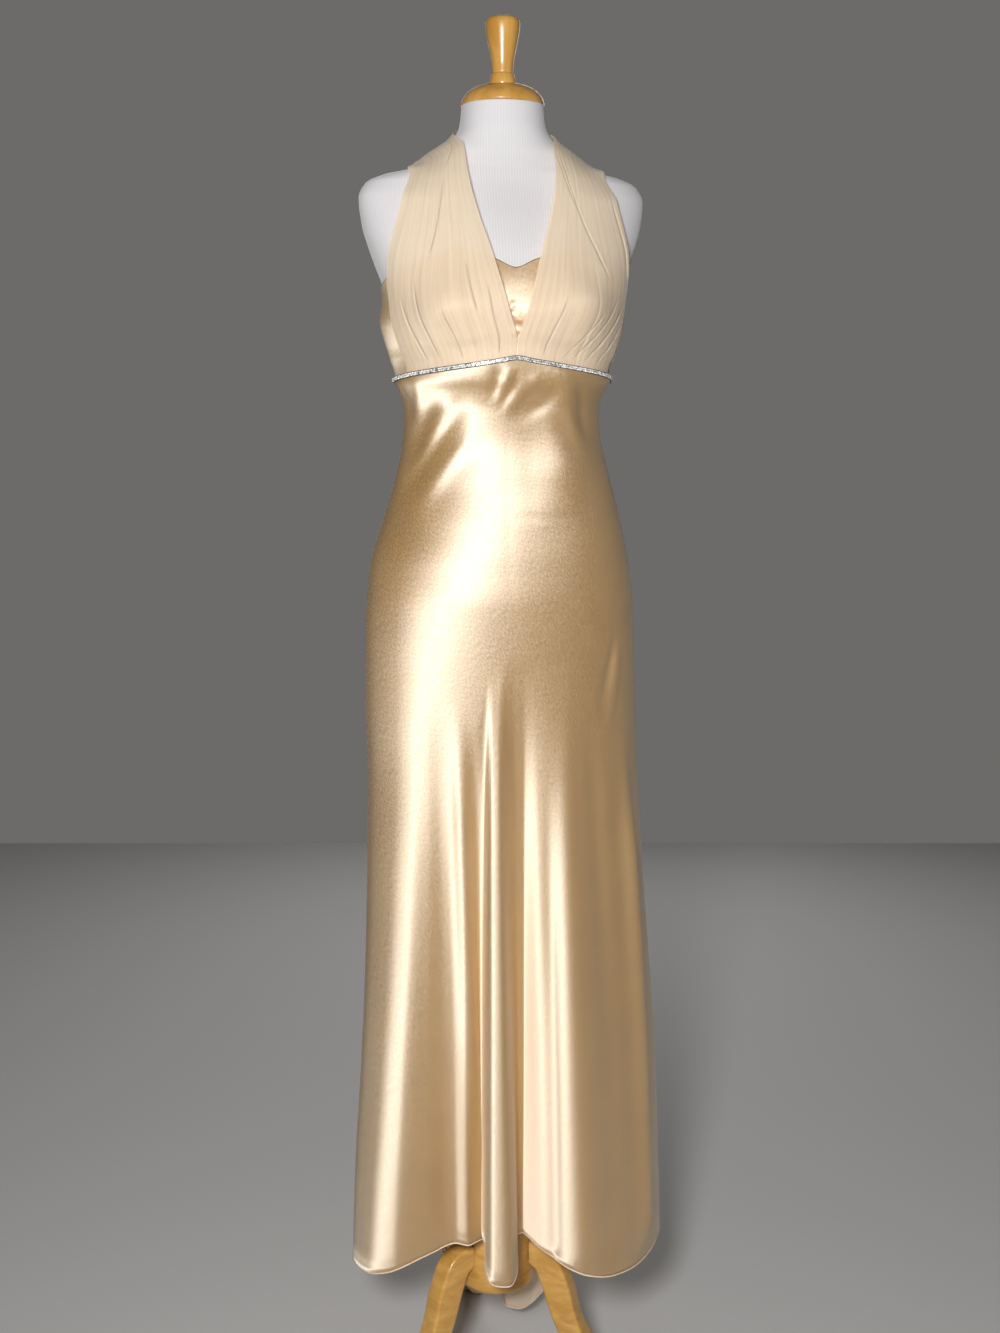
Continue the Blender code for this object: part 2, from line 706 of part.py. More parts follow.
def centre_on_floor():
    """Moves the frame so that the origin is under the middle of the whole part's box."""
    bpy.context.view_layer.update()
    graph = bpy.context.evaluated_depsgraph_get()
    corners = []
    for made in PARTS.objects:
        if made.type == "EMPTY":
            continue
        shown = made.evaluated_get(graph)
        mesh = shown.to_mesh()
        corners += [shown.matrix_world @ vertex.co for vertex in mesh.vertices]
        shown.to_mesh_clear()
    low = [min(corner[axis] for corner in corners) for axis in range(3)]
    high = [max(corner[axis] for corner in corners) for axis in range(3)]
    FRAME.location = (-(low[0] + high[0]) / 2, -(low[1] + high[1]) / 2, -low[2])


# ---- The whole -----------------------------------------------------------------------------------

for startup in list(bpy.data.objects):
    bpy.data.objects.remove(startup)
PARTS = bpy.data.collections.new("evening_gown")
bpy.context.scene.collection.children.link(PARTS)
FRAME = bpy.data.objects.new("frame", None)
PARTS.objects.link(FRAME)

satin = material("satin", (0.72, 0.53, 0.31), 0.35)
chiffon = material("chiffon", (0.86, 0.70, 0.50), 0.80)
jersey = material("jersey", (0.78, 0.76, 0.75), 0.95)
wood = material("wood", (0.62, 0.38, 0.14), 0.40)
rhinestones = material("rhinestones", (0.80, 0.80, 0.82), 0.15, 0.9)

torso(jersey)
stand(wood)
skirt_panel("skirt_front", FRONT_FOLDS, FRONT_COLUMNS, FRONT_ROWS, satin)
skirt_panel("skirt_back", BACK_FOLDS, BACK_COLUMNS, BACK_ROWS, satin)
bandeau_piece("bodice_front", -90, 90, BANDEAU_CURVE, 30, 8, satin)
bandeau_piece("bodice_back", 90, 270, BACK_BAND_CURVE, 22, 4, satin)
halter_panel("halter_left", -1, chiffon)
halter_panel("halter_right", 1, chiffon)
neck_band(chiffon)
trim_band(rhinestones)
centre_on_floor()
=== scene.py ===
"""Looks for the evening gown on its dress form: satin, chiffon, set stones, jersey and varnished wood.

Every surface repeats the construction of the solids at a finer pitch. Sizes are in metres, a radius
runs from the form's upright axis, and an angle is in degrees round it, 0 at the gown's front and
growing towards +X. Left and right are as seen from the front, so left is the side of -X.
"""

import math
from collections import namedtuple

import bmesh
import bpy
import numpy as np
from mathutils import Matrix, Vector


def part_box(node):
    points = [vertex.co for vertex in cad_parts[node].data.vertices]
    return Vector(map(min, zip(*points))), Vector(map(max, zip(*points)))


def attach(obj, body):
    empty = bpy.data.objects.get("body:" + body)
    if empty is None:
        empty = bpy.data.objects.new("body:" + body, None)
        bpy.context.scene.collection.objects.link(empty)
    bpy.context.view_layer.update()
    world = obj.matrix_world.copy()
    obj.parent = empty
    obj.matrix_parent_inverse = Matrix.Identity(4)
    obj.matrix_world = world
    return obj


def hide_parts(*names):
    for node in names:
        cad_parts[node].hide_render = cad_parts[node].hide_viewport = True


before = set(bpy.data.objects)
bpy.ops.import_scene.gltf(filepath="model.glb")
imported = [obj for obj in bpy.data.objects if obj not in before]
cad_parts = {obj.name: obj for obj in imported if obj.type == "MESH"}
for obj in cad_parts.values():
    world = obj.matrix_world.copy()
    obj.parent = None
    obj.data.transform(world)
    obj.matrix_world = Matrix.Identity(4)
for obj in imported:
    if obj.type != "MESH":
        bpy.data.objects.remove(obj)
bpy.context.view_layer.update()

CAP_LOW, CAP_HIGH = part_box("neck_cap")
AXIS = Vector(((CAP_LOW.x + CAP_HIGH.x) / 2, (CAP_LOW.y + CAP_HIGH.y) / 2, 0))
POLE = AXIS + Vector((-0.0080, 0.0012, 0))


def table(columns, *rows):
    """Rows of numbers under named columns."""
    row = namedtuple("Row", columns)
    return [row(*numbers) for numbers in rows]


# ---- The solids' sizes ----

SHELL, GAUZE = 0.0008, 0.0005  # thickness of the finished satin and chiffon
SATIN, CHIFFON = 0.0016, 0.0012  # thickness of the solids' walls
SEAM_GAP, REST_GAP, NECK_GAP, SHOULDER_GAP, LAYER_GAP = 0.0004, 0.0022, 0.0005, 0.0022, 0.0015
BODY_SQUARENESS, FLAT_SPOT = 2.2, 0.22

BODY = "height side front back"
FORM = table(
    BODY,
    (1.060, 0.1800, 0.108, 0.113),
    (1.100, 0.1835, 0.112, 0.119),
    (1.160, 0.1860, 0.116, 0.125),
    (1.220, 0.1840, 0.118, 0.126),
    (1.278, 0.1760, 0.114, 0.119),
    (1.335, 0.1620, 0.107, 0.106),
    (1.390, 0.1450, 0.098, 0.094),
    (1.430, 0.1340, 0.093, 0.087),
    (1.475, 0.1290, 0.091, 0.084),
    (1.530, 0.1410, 0.099, 0.092),
    (1.590, 0.1520, 0.114, 0.100),
    (1.620, 0.1590, 0.118, 0.104),
    (1.650, 0.1655, 0.115, 0.107),
    (1.700, 0.1840, 0.102, 0.108),
    (1.740, 0.1962, 0.085, 0.101),
    (1.775, 0.2002, 0.068, 0.091),
    (1.795, 0.1905, 0.060, 0.083),
    (1.806, 0.1665, 0.057, 0.078),
    (1.815, 0.1260, 0.055, 0.073),
    (1.832, 0.1000, 0.053, 0.067),
    (1.850, 0.0740, 0.053, 0.064),
    (1.872, 0.0600, 0.055, 0.063),
    (1.900, 0.0565, 0.055, 0.057),
)
BUST_ANGLE, BUST_HEIGHT = 37.0, 1.628
BUST_RISE, BUST_SPREAD_ANGLE, BUST_SPREAD_HEIGHT = 0.022, 19.0, 0.044
SIDE_EASE = 0.014
SIDE_EASE_HEIGHT, SIDE_EASE_ABOVE, SIDE_EASE_BELOW = 1.602, 0.030, 0.060
SIDE_EASE_ROUND, SIDE_EASE_GROWS = 0.26, 0.030
TUCK = 0.0022
SETTLE_FROM, SETTLE_OVER = 0.004, 0.060

GOWN = table(
    "height left right front back",
    (0.040, 0.2320, 0.2480, 0.162, 0.215),
    (0.249, 0.2270, 0.2430, 0.157, 0.200),
    (0.386, 0.2220, 0.2380, 0.151, 0.185),
    (0.545, 0.2115, 0.2315, 0.144, 0.165),
    (0.700, 0.2035, 0.2200, 0.137, 0.148),
    (0.852, 0.1990, 0.2070, 0.131, 0.137),
    (0.987, 0.1965, 0.1990, 0.127, 0.132),
    (1.075, 0.1990, 0.1950, 0.126, 0.132),
    (1.163, 0.1985, 0.1920, 0.126, 0.134),
    (1.221, 0.1955, 0.1890, 0.126, 0.133),
    (1.278, 0.1890, 0.1815, 0.122, 0.126),
    (1.335, 0.1715, 0.1695, 0.115, 0.114),
    (1.392, 0.1540, 0.1545, 0.106, 0.101),
    (1.448, 0.1420, 0.1405, 0.101, 0.093),
    (1.490, 0.1395, 0.1370, 0.104, 0.092),
    (1.514, 0.1450, 0.1435, 0.110, 0.096),
    (1.530, 0.1535, 0.1520, 0.117, 0.101),
    (1.560, 0.1555, 0.1545, 0.122, 0.104),
)

HALTER = table(
    BODY,
    (1.530, 0.1545, 0.119, 0.104),
    (1.560, 0.1565, 0.124, 0.104),
    (1.590, 0.1610, 0.132, 0.104),
    (1.620, 0.1665, 0.136, 0.104),
    (1.650, 0.1730, 0.134, 0.104),
    (1.684, 0.1810, 0.126, 0.100),
    (1.725, 0.1930, 0.112, 0.094),
    (1.765, 0.1950, 0.098, 0.086),
    (1.793, 0.1630, 0.088, 0.080),
    (1.816, 0.1250, 0.079, 0.072),
    (1.836, 0.0950, 0.072, 0.066),
    (1.855, 0.0700, 0.065, 0.062),
    (1.890, 0.0560, 0.058, 0.060),
)
CHIFFON_LIFT, STEEP_FROM, STEEP_OVER, STEEP_LIFT = 0.004, 1.845, 0.025, 0.2
LIFT_OFF_OVER = 0.030
NECK_GAP_AT, NECK_GAP_OVER = 158.0, 25.0
STRAIGHT_FALL = 26

EDGE = "angle height"
SEAM = table(
    EDGE,
    (-90, 1.53), (-60, 1.5385), (-30, 1.5475), (-10, 1.554), (0, 1.5575),
    (10, 1.554), (30, 1.5475), (60, 1.5385), (90, 1.53),
)
BANDEAU_TOP = table(
    EDGE,
    (-90, 1.655), (-62, 1.678), (-38, 1.699), (-14, 1.687), (0, 1.676),
    (14, 1.687), (38, 1.699), (62, 1.678), (90, 1.655),
)
BANDEAU_HIGHEST = max(edge.height for edge in BANDEAU_TOP)
BACK_BAND_TOP = table(
    EDGE,
    (90, 1.655), (115, 1.638), (150, 1.618), (180, 1.612),
    (210, 1.618), (245, 1.638), (270, 1.655),
)
BACK_SEAM_HEIGHT = 1.530
HEM = table(
    EDGE,
    (-90, 0.243), (-80, 0.25), (-69, 0.258), (-57, 0.272), (-46, 0.295), (-38, 0.304),
    (-23, 0.302), (-9.5, 0.2885), (8.5, 0.297), (16, 0.298), (23, 0.29), (35, 0.279),
    (48, 0.275), (66, 0.274), (90, 0.25), (120, 0.165), (143, 0.085), (160, 0.052),
    (187, 0.085), (198, 0.118), (210, 0.158), (240, 0.185), (270, 0.243),
)

FOLD = "hem_angle hip_angle radius start"
FRONT_FOLDS = table(
    FOLD,
    (-90, -90, 0.2265, 1.1),
    (-78, -78, 0.232, 1.12),
    (-65, -66, 0.2335, 1.13),
    (-55, -58, 0.219, 1.14),
    (-47, -51, 0.182, 1.14),
    (-41, -45, 0.15, 1.13),
    (-36, -39, 0.141, 1.1),
    (-30, -33, 0.14, 1.07),
    (-24, -25, 0.112, 1.06),
    (-20, -21, 0.127, 1.09),
    (-15.5, -17, 0.196, 1.13),
    (-12.5, -15.5, 0.215, 1.13),
    (-6.5, -13, 0.2172, 1.13),
    (-3.5, -11, 0.195, 1.14),
    (1, -7, 0.122, 1.15),
    (6, -2, 0.087, 1.16),
    (11, 3, 0.087, 1.16),
    (14.5, 13, 0.15, 1.16),
    (18, 23, 0.2, 1.15),
    (23, 31, 0.223, 1.15),
    (30, 37, 0.231, 1.14),
    (46, 49, 0.234, 1.14),
    (66, 67, 0.2345, 1.13),
    (90, 90, 0.243, 1.1),
)
BACK_FOLDS = table(
    FOLD,
    (90, 90, 0.243, 1.1),
    (111, 110, 0.243, 1.08),
    (127, 124, 0.242, 1.08),
    (138, 132, 0.196, 1.06),
    (150, 142, 0.133, 1.05),
    (168, 160, 0.133, 1.06),
    (176, 171, 0.23, 1.09),
    (181, 176, 0.247, 1.1),
    (194, 186, 0.247, 1.09),
    (202, 196, 0.185, 1.02),
    (208, 205, 0.17, 1.0),
    (215, 213, 0.2, 1.01),
    (223, 222, 0.239, 1.02),
    (236, 235, 0.239, 1.0),
    (247, 246, 0.201, 0.9),
    (252, 251, 0.201, 0.92),
    (262, 262, 0.222, 1.05),
    (270, 270, 0.2265, 1.1),
)
HIP, DRAPE = 1.22, 1.25
SKIRT_RADIUS, BODICE_RADIUS = 0.20, 0.15

HALTER_STATIONS = table(
    "along inner_angle inner_height outer_angle outer_height",
    (0.0, 0.25, 1.5575, 69.0, 1.5355),
    (0.1, 0.25, 1.579, 71.5, 1.572),
    (0.2, 4.5, 1.615, 73.5, 1.606),
    (0.32, 10.0, 1.66, 73.0, 1.646),
    (0.44, 16.5, 1.703, 70.0, 1.684),
    (0.56, 24.0, 1.74, 66.5, 1.724),
    (0.68, 31.0, 1.774, 65.5, 1.761),
    (0.8, 38.5, 1.808, 69.5, 1.796),
    (0.9, 50.0, 1.842, 78.0, 1.815),
    (1.0, 84.0, 1.862, 96.0, 1.8265),
    (1.1, 122.0, 1.873, 128.0, 1.833),
    (1.2, 160.0, 1.879, 160.0, 1.843),
)
NECK_BAND_START, NECK_BAND_END = 160.8, 199.2
TRIM_WIDTH, TRIM_THICKNESS, TRIM_END_ANGLE = 0.0066, 0.0016, 88.5

HUB_BOTTOM, HUB_TOP, HUB_RADIUS, HUB_EDGE = 0.180, 0.284, 0.057, 0.012
POLE_RADIUS, POLE_GAP = 0.0125, 0.0003
LEG_ANGLES, LEG_THICKNESS = (-60.0, 60.0, 180.0), 0.032
LEG = table(
    "reach height width",
    (0.0573, 0.24, 0.034),
    (0.08, 0.23, 0.042),
    (0.099, 0.19, 0.043),
    (0.11, 0.152, 0.04),
    (0.126, 0.117, 0.036),
    (0.154, 0.087, 0.033),
    (0.195, 0.064, 0.03),
    (0.24, 0.045, 0.028),
    (0.27, 0.026, 0.026),
    (0.283, 0.0135, 0.025),
    (0.304, 0.0085, 0.02),
)
TURNING = "height radius"
NECK_CAP = table(
    TURNING,
    (1.9003, 0.0560), (1.9020, 0.0570), (1.9060, 0.0563), (1.9120, 0.0533),
    (1.9182, 0.0472), (1.9240, 0.0370), (1.9272, 0.0240), (1.9280, 0.0190),
)
COLLAR = table(
    TURNING,
    (1.9283, 0.0178), (1.9310, 0.0183), (1.9400, 0.0160), (1.9425, 0.0151), (1.9434, 0.0136),
)
FINIAL = table(
    TURNING,
    (1.9442, 0.0141), (1.9530, 0.0145), (1.9676, 0.0169), (1.9890, 0.0213),
    (2.0080, 0.0236), (2.0140, 0.0215), (2.0175, 0.0130),
)
CROWN = table(TURNING, (2.0183, 0.006))

# ---- Creases of the cloth ----

# A soft ridge (out above 0) or trough (below 0) between two places, each given by the hem angle of
# its column and its height. Bow shifts its middle sideways in degrees. Widths are half-widths, and a
# fade is the share of its length over which it grows or dies out.
CREASE = "angle height low_angle low_height bow width low_width out fade_in fade_out"
FRONT_CREASES = table(
    CREASE,
    # drag lines from under the bust to the left side of the waist
    (-42, 1.53, -76, 1.405, -4, 0.014, 0.019, -0.0036, 0.35, 0.45),
    (-58, 1.533, -70, 1.47, -2, 0.008, 0.01, 0.0022, 0.3, 0.5),
    (-28, 1.51, -76, 1.355, -5, 0.014, 0.019, -0.0034, 0.35, 0.4),
    (-35, 1.5, -72, 1.39, -4, 0.01, 0.013, 0.0024, 0.3, 0.4),
    (-22, 1.475, -60, 1.34, -4, 0.012, 0.018, 0.0026, 0.35, 0.45),
    (-84, 1.522, -72, 1.47, 0, 0.009, 0.011, -0.0024, 0.2, 0.5),
    # small pulls under the peak of the trim
    (-2, 1.545, -17, 1.497, 2, 0.0065, 0.008, -0.0024, 0.25, 0.45),
    (5, 1.548, -12, 1.488, 3, 0.0065, 0.008, 0.0023, 0.25, 0.4),
    (9, 1.543, -9, 1.492, 4, 0.0055, 0.007, -0.0016, 0.25, 0.4),
    (16, 1.538, -5, 1.478, 4, 0.007, 0.0085, 0.0023, 0.25, 0.4),
    (22, 1.532, 7, 1.468, 3, 0.008, 0.01, -0.002, 0.25, 0.45),
    (-24, 1.53, -50, 1.44, -2, 0.015, 0.018, -0.0013, 0.45, 0.45),
    # a broad soft ridge down the right of the waist, and drags over it to the side
    (26, 1.546, 34, 1.33, 2, 0.03, 0.036, 0.008, 0.16, 0.45),
    (16, 1.49, 46, 1.404, 3, 0.01, 0.013, -0.0024, 0.35, 0.4),
    (24, 1.5, 54, 1.415, 4, 0.01, 0.014, 0.0022, 0.35, 0.45),
    (40, 1.53, 52, 1.44, 2, 0.01, 0.012, -0.002, 0.25, 0.5),
    # a faint cross line over the belly
    (-3, 1.346, 41, 1.343, 0, 0.003, 0.003, -0.0005, 0.25, 0.25),
    # left of the middle fold
    (-33, 1.11, -23.5, 0.29, 0, 0.011, 0.0125, 0.0055, 0.25, 0.04),
    (-26, 1.075, -23.5, 0.56, 1, 0.009, 0.008, -0.0014, 0.25, 0.4),
    # down the middle fold's own front
    (-8.6, 1.12, -7.6, 0.29, 0, 0.012, 0.015, 0.0025, 0.3, 0.02),
    # down the broad fold right of it
    (22.5, 1.12, 21.5, 0.29, 0, 0.013, 0.015, 0.0035, 0.35, 0.03),
    (17.0, 1.06, 16.0, 0.29, 0, 0.011, 0.0125, -0.0055, 0.45, 0.03),
    (39, 1.12, 33, 0.29, 5, 0.015, 0.02, -0.0045, 0.3, 0.05),
    (63, 1.06, 52, 0.28, 3, 0.013, 0.016, 0.014, 0.3, 0.08),
    # short drags at the right hip
    (59, 1.185, 46, 1.07, 1, 0.006, 0.008, -0.003, 0.3, 0.4),
    (62, 1.17, 51, 1.04, 1, 0.007, 0.008, 0.002, 0.3, 0.4),
)
BANDEAU_CREASES = table(
    CREASE,
    # small folds where the bandeau shows in the V
    (-1, 1.633, -7, 1.613, 0, 0.0035, 0.0035, 0.0009, 0.3, 0.3),
    (-3, 1.617, 2, 1.602, 0, 0.0033, 0.0033, 0.0008, 0.3, 0.3),
    (2, 1.597, -4, 1.586, 0, 0.0033, 0.0033, 0.0008, 0.3, 0.3),
    (-12, 1.655, -7, 1.64, 0, 0.004, 0.004, 0.0005, 0.3, 0.3),
)
BACK_CREASES = table(
    CREASE,
    # drag lines from the back of the waist to both sides
    (143, 1.515, 106, 1.395, 4, 0.011, 0.015, -0.003, 0.3, 0.45),
    (152, 1.5, 112, 1.35, 4, 0.01, 0.015, 0.0024, 0.3, 0.45),
    (128, 1.52, 104, 1.44, 2, 0.008, 0.01, -0.002, 0.3, 0.5),
    (217, 1.515, 255, 1.4, -4, 0.011, 0.014, -0.0028, 0.3, 0.45),
    (207, 1.495, 248, 1.35, -4, 0.011, 0.015, 0.0024, 0.3, 0.4),
    # small pulls under the middle of the back seam
    (186, 1.522, 180, 1.47, 1, 0.005, 0.007, -0.0015, 0.25, 0.55),
    (169, 1.522, 175, 1.46, -1, 0.005, 0.007, 0.0013, 0.25, 0.55),
    # long soft creases down the skirt
    (112, 1.08, 107, 0.21, 2, 0.012, 0.018, -0.0046, 0.3, 0.05),
    (126, 1.04, 129, 0.16, 3, 0.011, 0.014, 0.0044, 0.3, 0.05),
    (171, 1.09, 177, 0.08, 2, 0.009, 0.012, 0.0042, 0.25, 0.05),
    (190, 1.06, 196, 0.11, -2, 0.007, 0.009, -0.0036, 0.25, 0.05),
    (218, 1.05, 221, 0.18, 2, 0.011, 0.015, 0.0044, 0.3, 0.05),
    (236, 1.01, 240, 0.2, -2, 0.012, 0.015, -0.0046, 0.3, 0.05),
    (258, 0.99, 259, 0.24, 1, 0.011, 0.014, 0.0036, 0.3, 0.08),
)
CREASE_STEPS = 36  # straight runs that its path is made of
CREASE_REACH = 3.5  # half-widths beyond which a crease no longer shows
CREASE_MARGIN = 0.007  # over which a crease dies out towards the seam above

# ---- Curves and surfaces ----


def eased(share):
    share = np.clip(share, 0.0, 1.0)
    return share * share * (3 - 2 * share)


def between(first, second, share):
    return first + (second - first) * share


class Curve:
    """A smooth curve of each named column of a table over its first column, never past its points."""

    def __init__(self, rows):
        self.places = np.array([row[0] for row in rows], float)
        self.columns = {}
        for name in rows[0]._fields[1:]:
            values = np.array([getattr(row, name) for row in rows], float)
            rises = np.diff(values) / np.diff(self.places)
            before, after = rises[:-1], rises[1:]
            total = np.where(before * after > 0, before + after, 1.0)
            inner = np.where(before * after > 0, 2 * before * after / total, 0.0)
            self.columns[name] = (values, np.concatenate([rises[:1], inner, rises[-1:]]))

    def at(self, place, name):
        places = self.places
        place = np.clip(place, places[0], places[-1])
        i = np.clip(np.searchsorted(places, place, side="right") - 1, 0, len(places) - 2)
        values, slopes = self.columns[name]
        width = places[i + 1] - places[i]
        t = (place - places[i]) / width
        return (
            (1 + 2 * t) * (1 - t) ** 2 * values[i]
            + t * (1 - t) ** 2 * width * slopes[i]
            + t * t * (3 - 2 * t) * values[i + 1]
            + t * t * (t - 1) * width * slopes[i + 1]
        )


FORM_CURVE, GOWN_CURVE, HALTER_CURVE = Curve(FORM), Curve(GOWN), Curve(HALTER)
SEAM_CURVE, HEM_CURVE = Curve(SEAM), Curve(HEM)
STATION_CURVE, LEG_CURVE = Curve(HALTER_STATIONS), Curve(LEG)


def outline(angle, side, depth):
    """Radius of a section, softened where it would be flat ahead and at the sides."""
    power, soft, turn = BODY_SQUARENESS / 2, FLAT_SPOT**2, np.radians(angle)
    across = ((np.sin(turn) ** 2 + soft) ** power - soft**power) / side**BODY_SQUARENESS
    along = ((np.cos(turn) ** 2 + soft) ** power - soft**power) / depth**BODY_SQUARENESS
    return (across + along) ** (-1 / BODY_SQUARENESS)


def ahead(angle):
    """Whether a place lies on the front half."""
    return np.cos(np.radians(angle)) > 0


def front_or_back(curve, angle, height):
    front, back = curve.at(height, "front"), curve.at(height, "back")
    return np.where(ahead(angle), front, back)


def body_section(curve, angle, height):
    return outline(angle, curve.at(height, "side"), front_or_back(curve, angle, height))


def form_radius(angle, height):
    up = ((height - BUST_HEIGHT) / BUST_SPREAD_HEIGHT) ** 2
    rise = 0.0
    for apex in (-BUST_ANGLE, BUST_ANGLE):
        rise = rise + np.exp(-(((angle - apex) / BUST_SPREAD_ANGLE) ** 2) - up)
    return body_section(FORM_CURVE, angle, height) + BUST_RISE * np.where(ahead(angle), rise, 0.0)


def gown_radius(angle, height):
    left, right = GOWN_CURVE.at(height, "left"), GOWN_CURVE.at(height, "right")
    side = np.where(np.sin(np.radians(angle)) > 0, right, left)
    return outline(angle, side, front_or_back(GOWN_CURVE, angle, height))


def seam_height(angle):
    return np.where(ahead(angle), SEAM_CURVE.at(angle, "height"), BACK_SEAM_HEIGHT)


def bandeau_radius(angle, height):
    seam = seam_height(angle)
    lower_edge = gown_radius(angle, seam) - TUCK
    on_form = form_radius(angle, height) + REST_GAP + SATIN / 2
    share = eased((height - seam - SETTLE_FROM) / SETTLE_OVER)
    spread = np.where(height > SIDE_EASE_HEIGHT, SIDE_EASE_ABOVE, SIDE_EASE_BELOW)
    up = ((height - SIDE_EASE_HEIGHT) / spread) ** 2
    round_side = (np.cos(np.radians(angle)) / SIDE_EASE_ROUND) ** 2
    ease = SIDE_EASE * np.exp(-round_side - up) * eased((height - seam) / SIDE_EASE_GROWS)
    return np.maximum(between(lower_edge, on_form, share), on_form) + ease


def under_chiffon(angle, height):
    steep = eased((height - STEEP_FROM) / STEEP_OVER)
    return form_radius(angle, height - CHIFFON_LIFT * between(1, STEEP_LIFT, steep))


def halter_radius(angle, height, depth):
    """The chiffon falls straight from the bust, but never closer than depth to what lies under it."""
    free = body_section(HALTER_CURVE, angle, height)
    on_bandeau = bandeau_radius(angle, height) + SATIN / 2 + LAYER_GAP
    gap = between(NECK_GAP, SHOULDER_GAP, eased((NECK_GAP_AT - angle) / NECK_GAP_OVER))
    on_form = under_chiffon(angle, height) + gap
    share = eased((height - BANDEAU_HIGHEST) / LIFT_OFF_OVER)
    under = between(on_bandeau, on_form, share) + CHIFFON / 2 + depth
    both = (free**STRAIGHT_FALL + under**STRAIGHT_FALL) ** (1 / STRAIGHT_FALL)
    return np.where(angle > 90, under, both)


def points(angle, radius, height, axis=AXIS):
    """Angles, radii and heights of any shape, as places in the part's frame."""
    angle, radius, height = np.broadcast_arrays(np.radians(angle), radius, height)
    x, y = axis.x + radius * np.sin(angle), axis.y - radius * np.cos(angle)
    return np.stack([x, y, height], axis=-1)


def full_turn(sides):
    """Equal steps round a circle, in degrees."""
    return np.arange(sides) * 360 / sides


# ---- Meshes ----


def add_object(name, data, finish=None):
    if finish is not None:
        data.materials.append(finish)
    made = bpy.data.objects.new(name, data)
    bpy.context.scene.collection.objects.link(made)
    return made


def object_from(mesh, name, finish):
    data = bpy.data.meshes.new(name)
    mesh.to_mesh(data)
    mesh.free()
    return add_object(name, data, finish)


def grid_object(name, places, layouts, finish, joined=False):
    """Quads through a rows x columns grid of places, with each named layout as a UV map."""
    rows, columns = places.shape[:2]
    i, j = np.meshgrid(np.arange(rows - 1), np.arange(columns - (not joined)), indexing="ij")
    k = (j + 1) % columns
    a, b = i * columns + j, i * columns + k
    faces = np.stack([a, b, b + columns, a + columns], axis=-1).reshape(-1, 4)
    data = bpy.data.meshes.new(name)
    data.vertices.add(rows * columns)
    data.vertices.foreach_set("co", places.reshape(-1).astype(np.float32))
    data.loops.add(faces.size)
    data.polygons.add(len(faces))
    data.loops.foreach_set("vertex_index", faces.reshape(-1).astype(np.int32))
    data.polygons.foreach_set("loop_start", np.arange(0, faces.size, 4, dtype=np.int32))
    data.update(calc_edges=True)
    for title, layout in layouts.items():
        corners = layout.reshape(-1, 2)[faces.reshape(-1)]
        layer = data.uv_layers.new(name=title)
        layer.data.foreach_set("uv", corners.reshape(-1).astype(np.float32))
    data.shade_smooth()
    return add_object(name, data, finish)


def on_part(made, slot, *nodes):
    """Puts a piece on the part's one body, in place of its solids; slot is not used."""
    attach(made, "root")
    if nodes:
        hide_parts(*nodes)
    return made


def faces_out(places):
    """Whether a grid's faces look away from the axis."""
    row, column = places.shape[0] // 2, places.shape[1] // 2
    middle = places[row, column]
    across, along = places[row, column + 1] - middle, places[row + 1, column] - middle
    outward = middle - np.array([AXIS.x, AXIS.y, middle[2]])
    return np.dot(np.cross(across, along), outward) > 0


DOWN, ACROSS = 0, 1  # the ways along a grid
TINY = 1e-12  # keeps a length of 0 from being divided by


def lengths(places, way):
    """The metres along the grid, one way, from its first row or column to each place."""
    steps = np.linalg.norm(np.diff(places, axis=way), axis=2)
    return np.insert(np.cumsum(steps, axis=way), 0, 0.0, axis=way)


def flat_layout(places):
    """How the piece lies flat, outside up: metres to the right of its middle column, and up."""
    across = lengths(places, ACROSS)
    across = across[:, [places.shape[1] // 2]] - across
    falls = np.sign(places[0, 0, 2] - places[-1, 0, 2])
    return np.stack([across, places[:1, :, 2] - falls * lengths(places, DOWN)], axis=-1)


def turned_layout(flat, degrees):
    turn = math.radians(degrees)
    u, v = flat[..., 0], flat[..., 1]
    across = u * math.cos(turn) - v * math.sin(turn)
    return np.stack([across, u * math.sin(turn) + v * math.cos(turn)], axis=-1)


def unit(vectors):
    return vectors / (np.linalg.norm(vectors, axis=-1, keepdims=True) + TINY)


def outward_normals(places):
    normal = unit(np.cross(np.gradient(places, axis=ACROSS), np.gradient(places, axis=DOWN)))
    outward = places - np.array([AXIS.x, AXIS.y, 0])
    outward[..., 2] = 0
    return normal * np.sign(np.sum(normal * outward))


def flat_place(across, height, angles, angle, z):
    """The metres across and the height of the grid's place at a column's angle and a height."""
    column = np.interp(angle, angles[0], np.arange(angles.shape[1]))
    left = min(int(column), angles.shape[1] - 2)
    share = column - left
    heights = between(height[:, left], height[:, left + 1], share)
    return np.interp(-z, -heights, between(across[:, left], across[:, left + 1], share)), z


def nearest_on(path, spots):
    """Each spot's distance to a path, and the share of the path's length at its nearest place."""
    nearest, share = np.full(len(spots), np.inf), np.zeros(len(spots))
    for number, (start, end) in enumerate(zip(path, path[1:])):
        run = end - start
        along = np.clip((spots - start) @ run / max(run @ run, TINY), 0, 1)
        away = np.linalg.norm(spots - start - along[:, None] * run, axis=1)
        closer = away < nearest
        nearest[closer] = away[closer]
        share[closer] = (number + along[closer]) / CREASE_STEPS
    return nearest, share


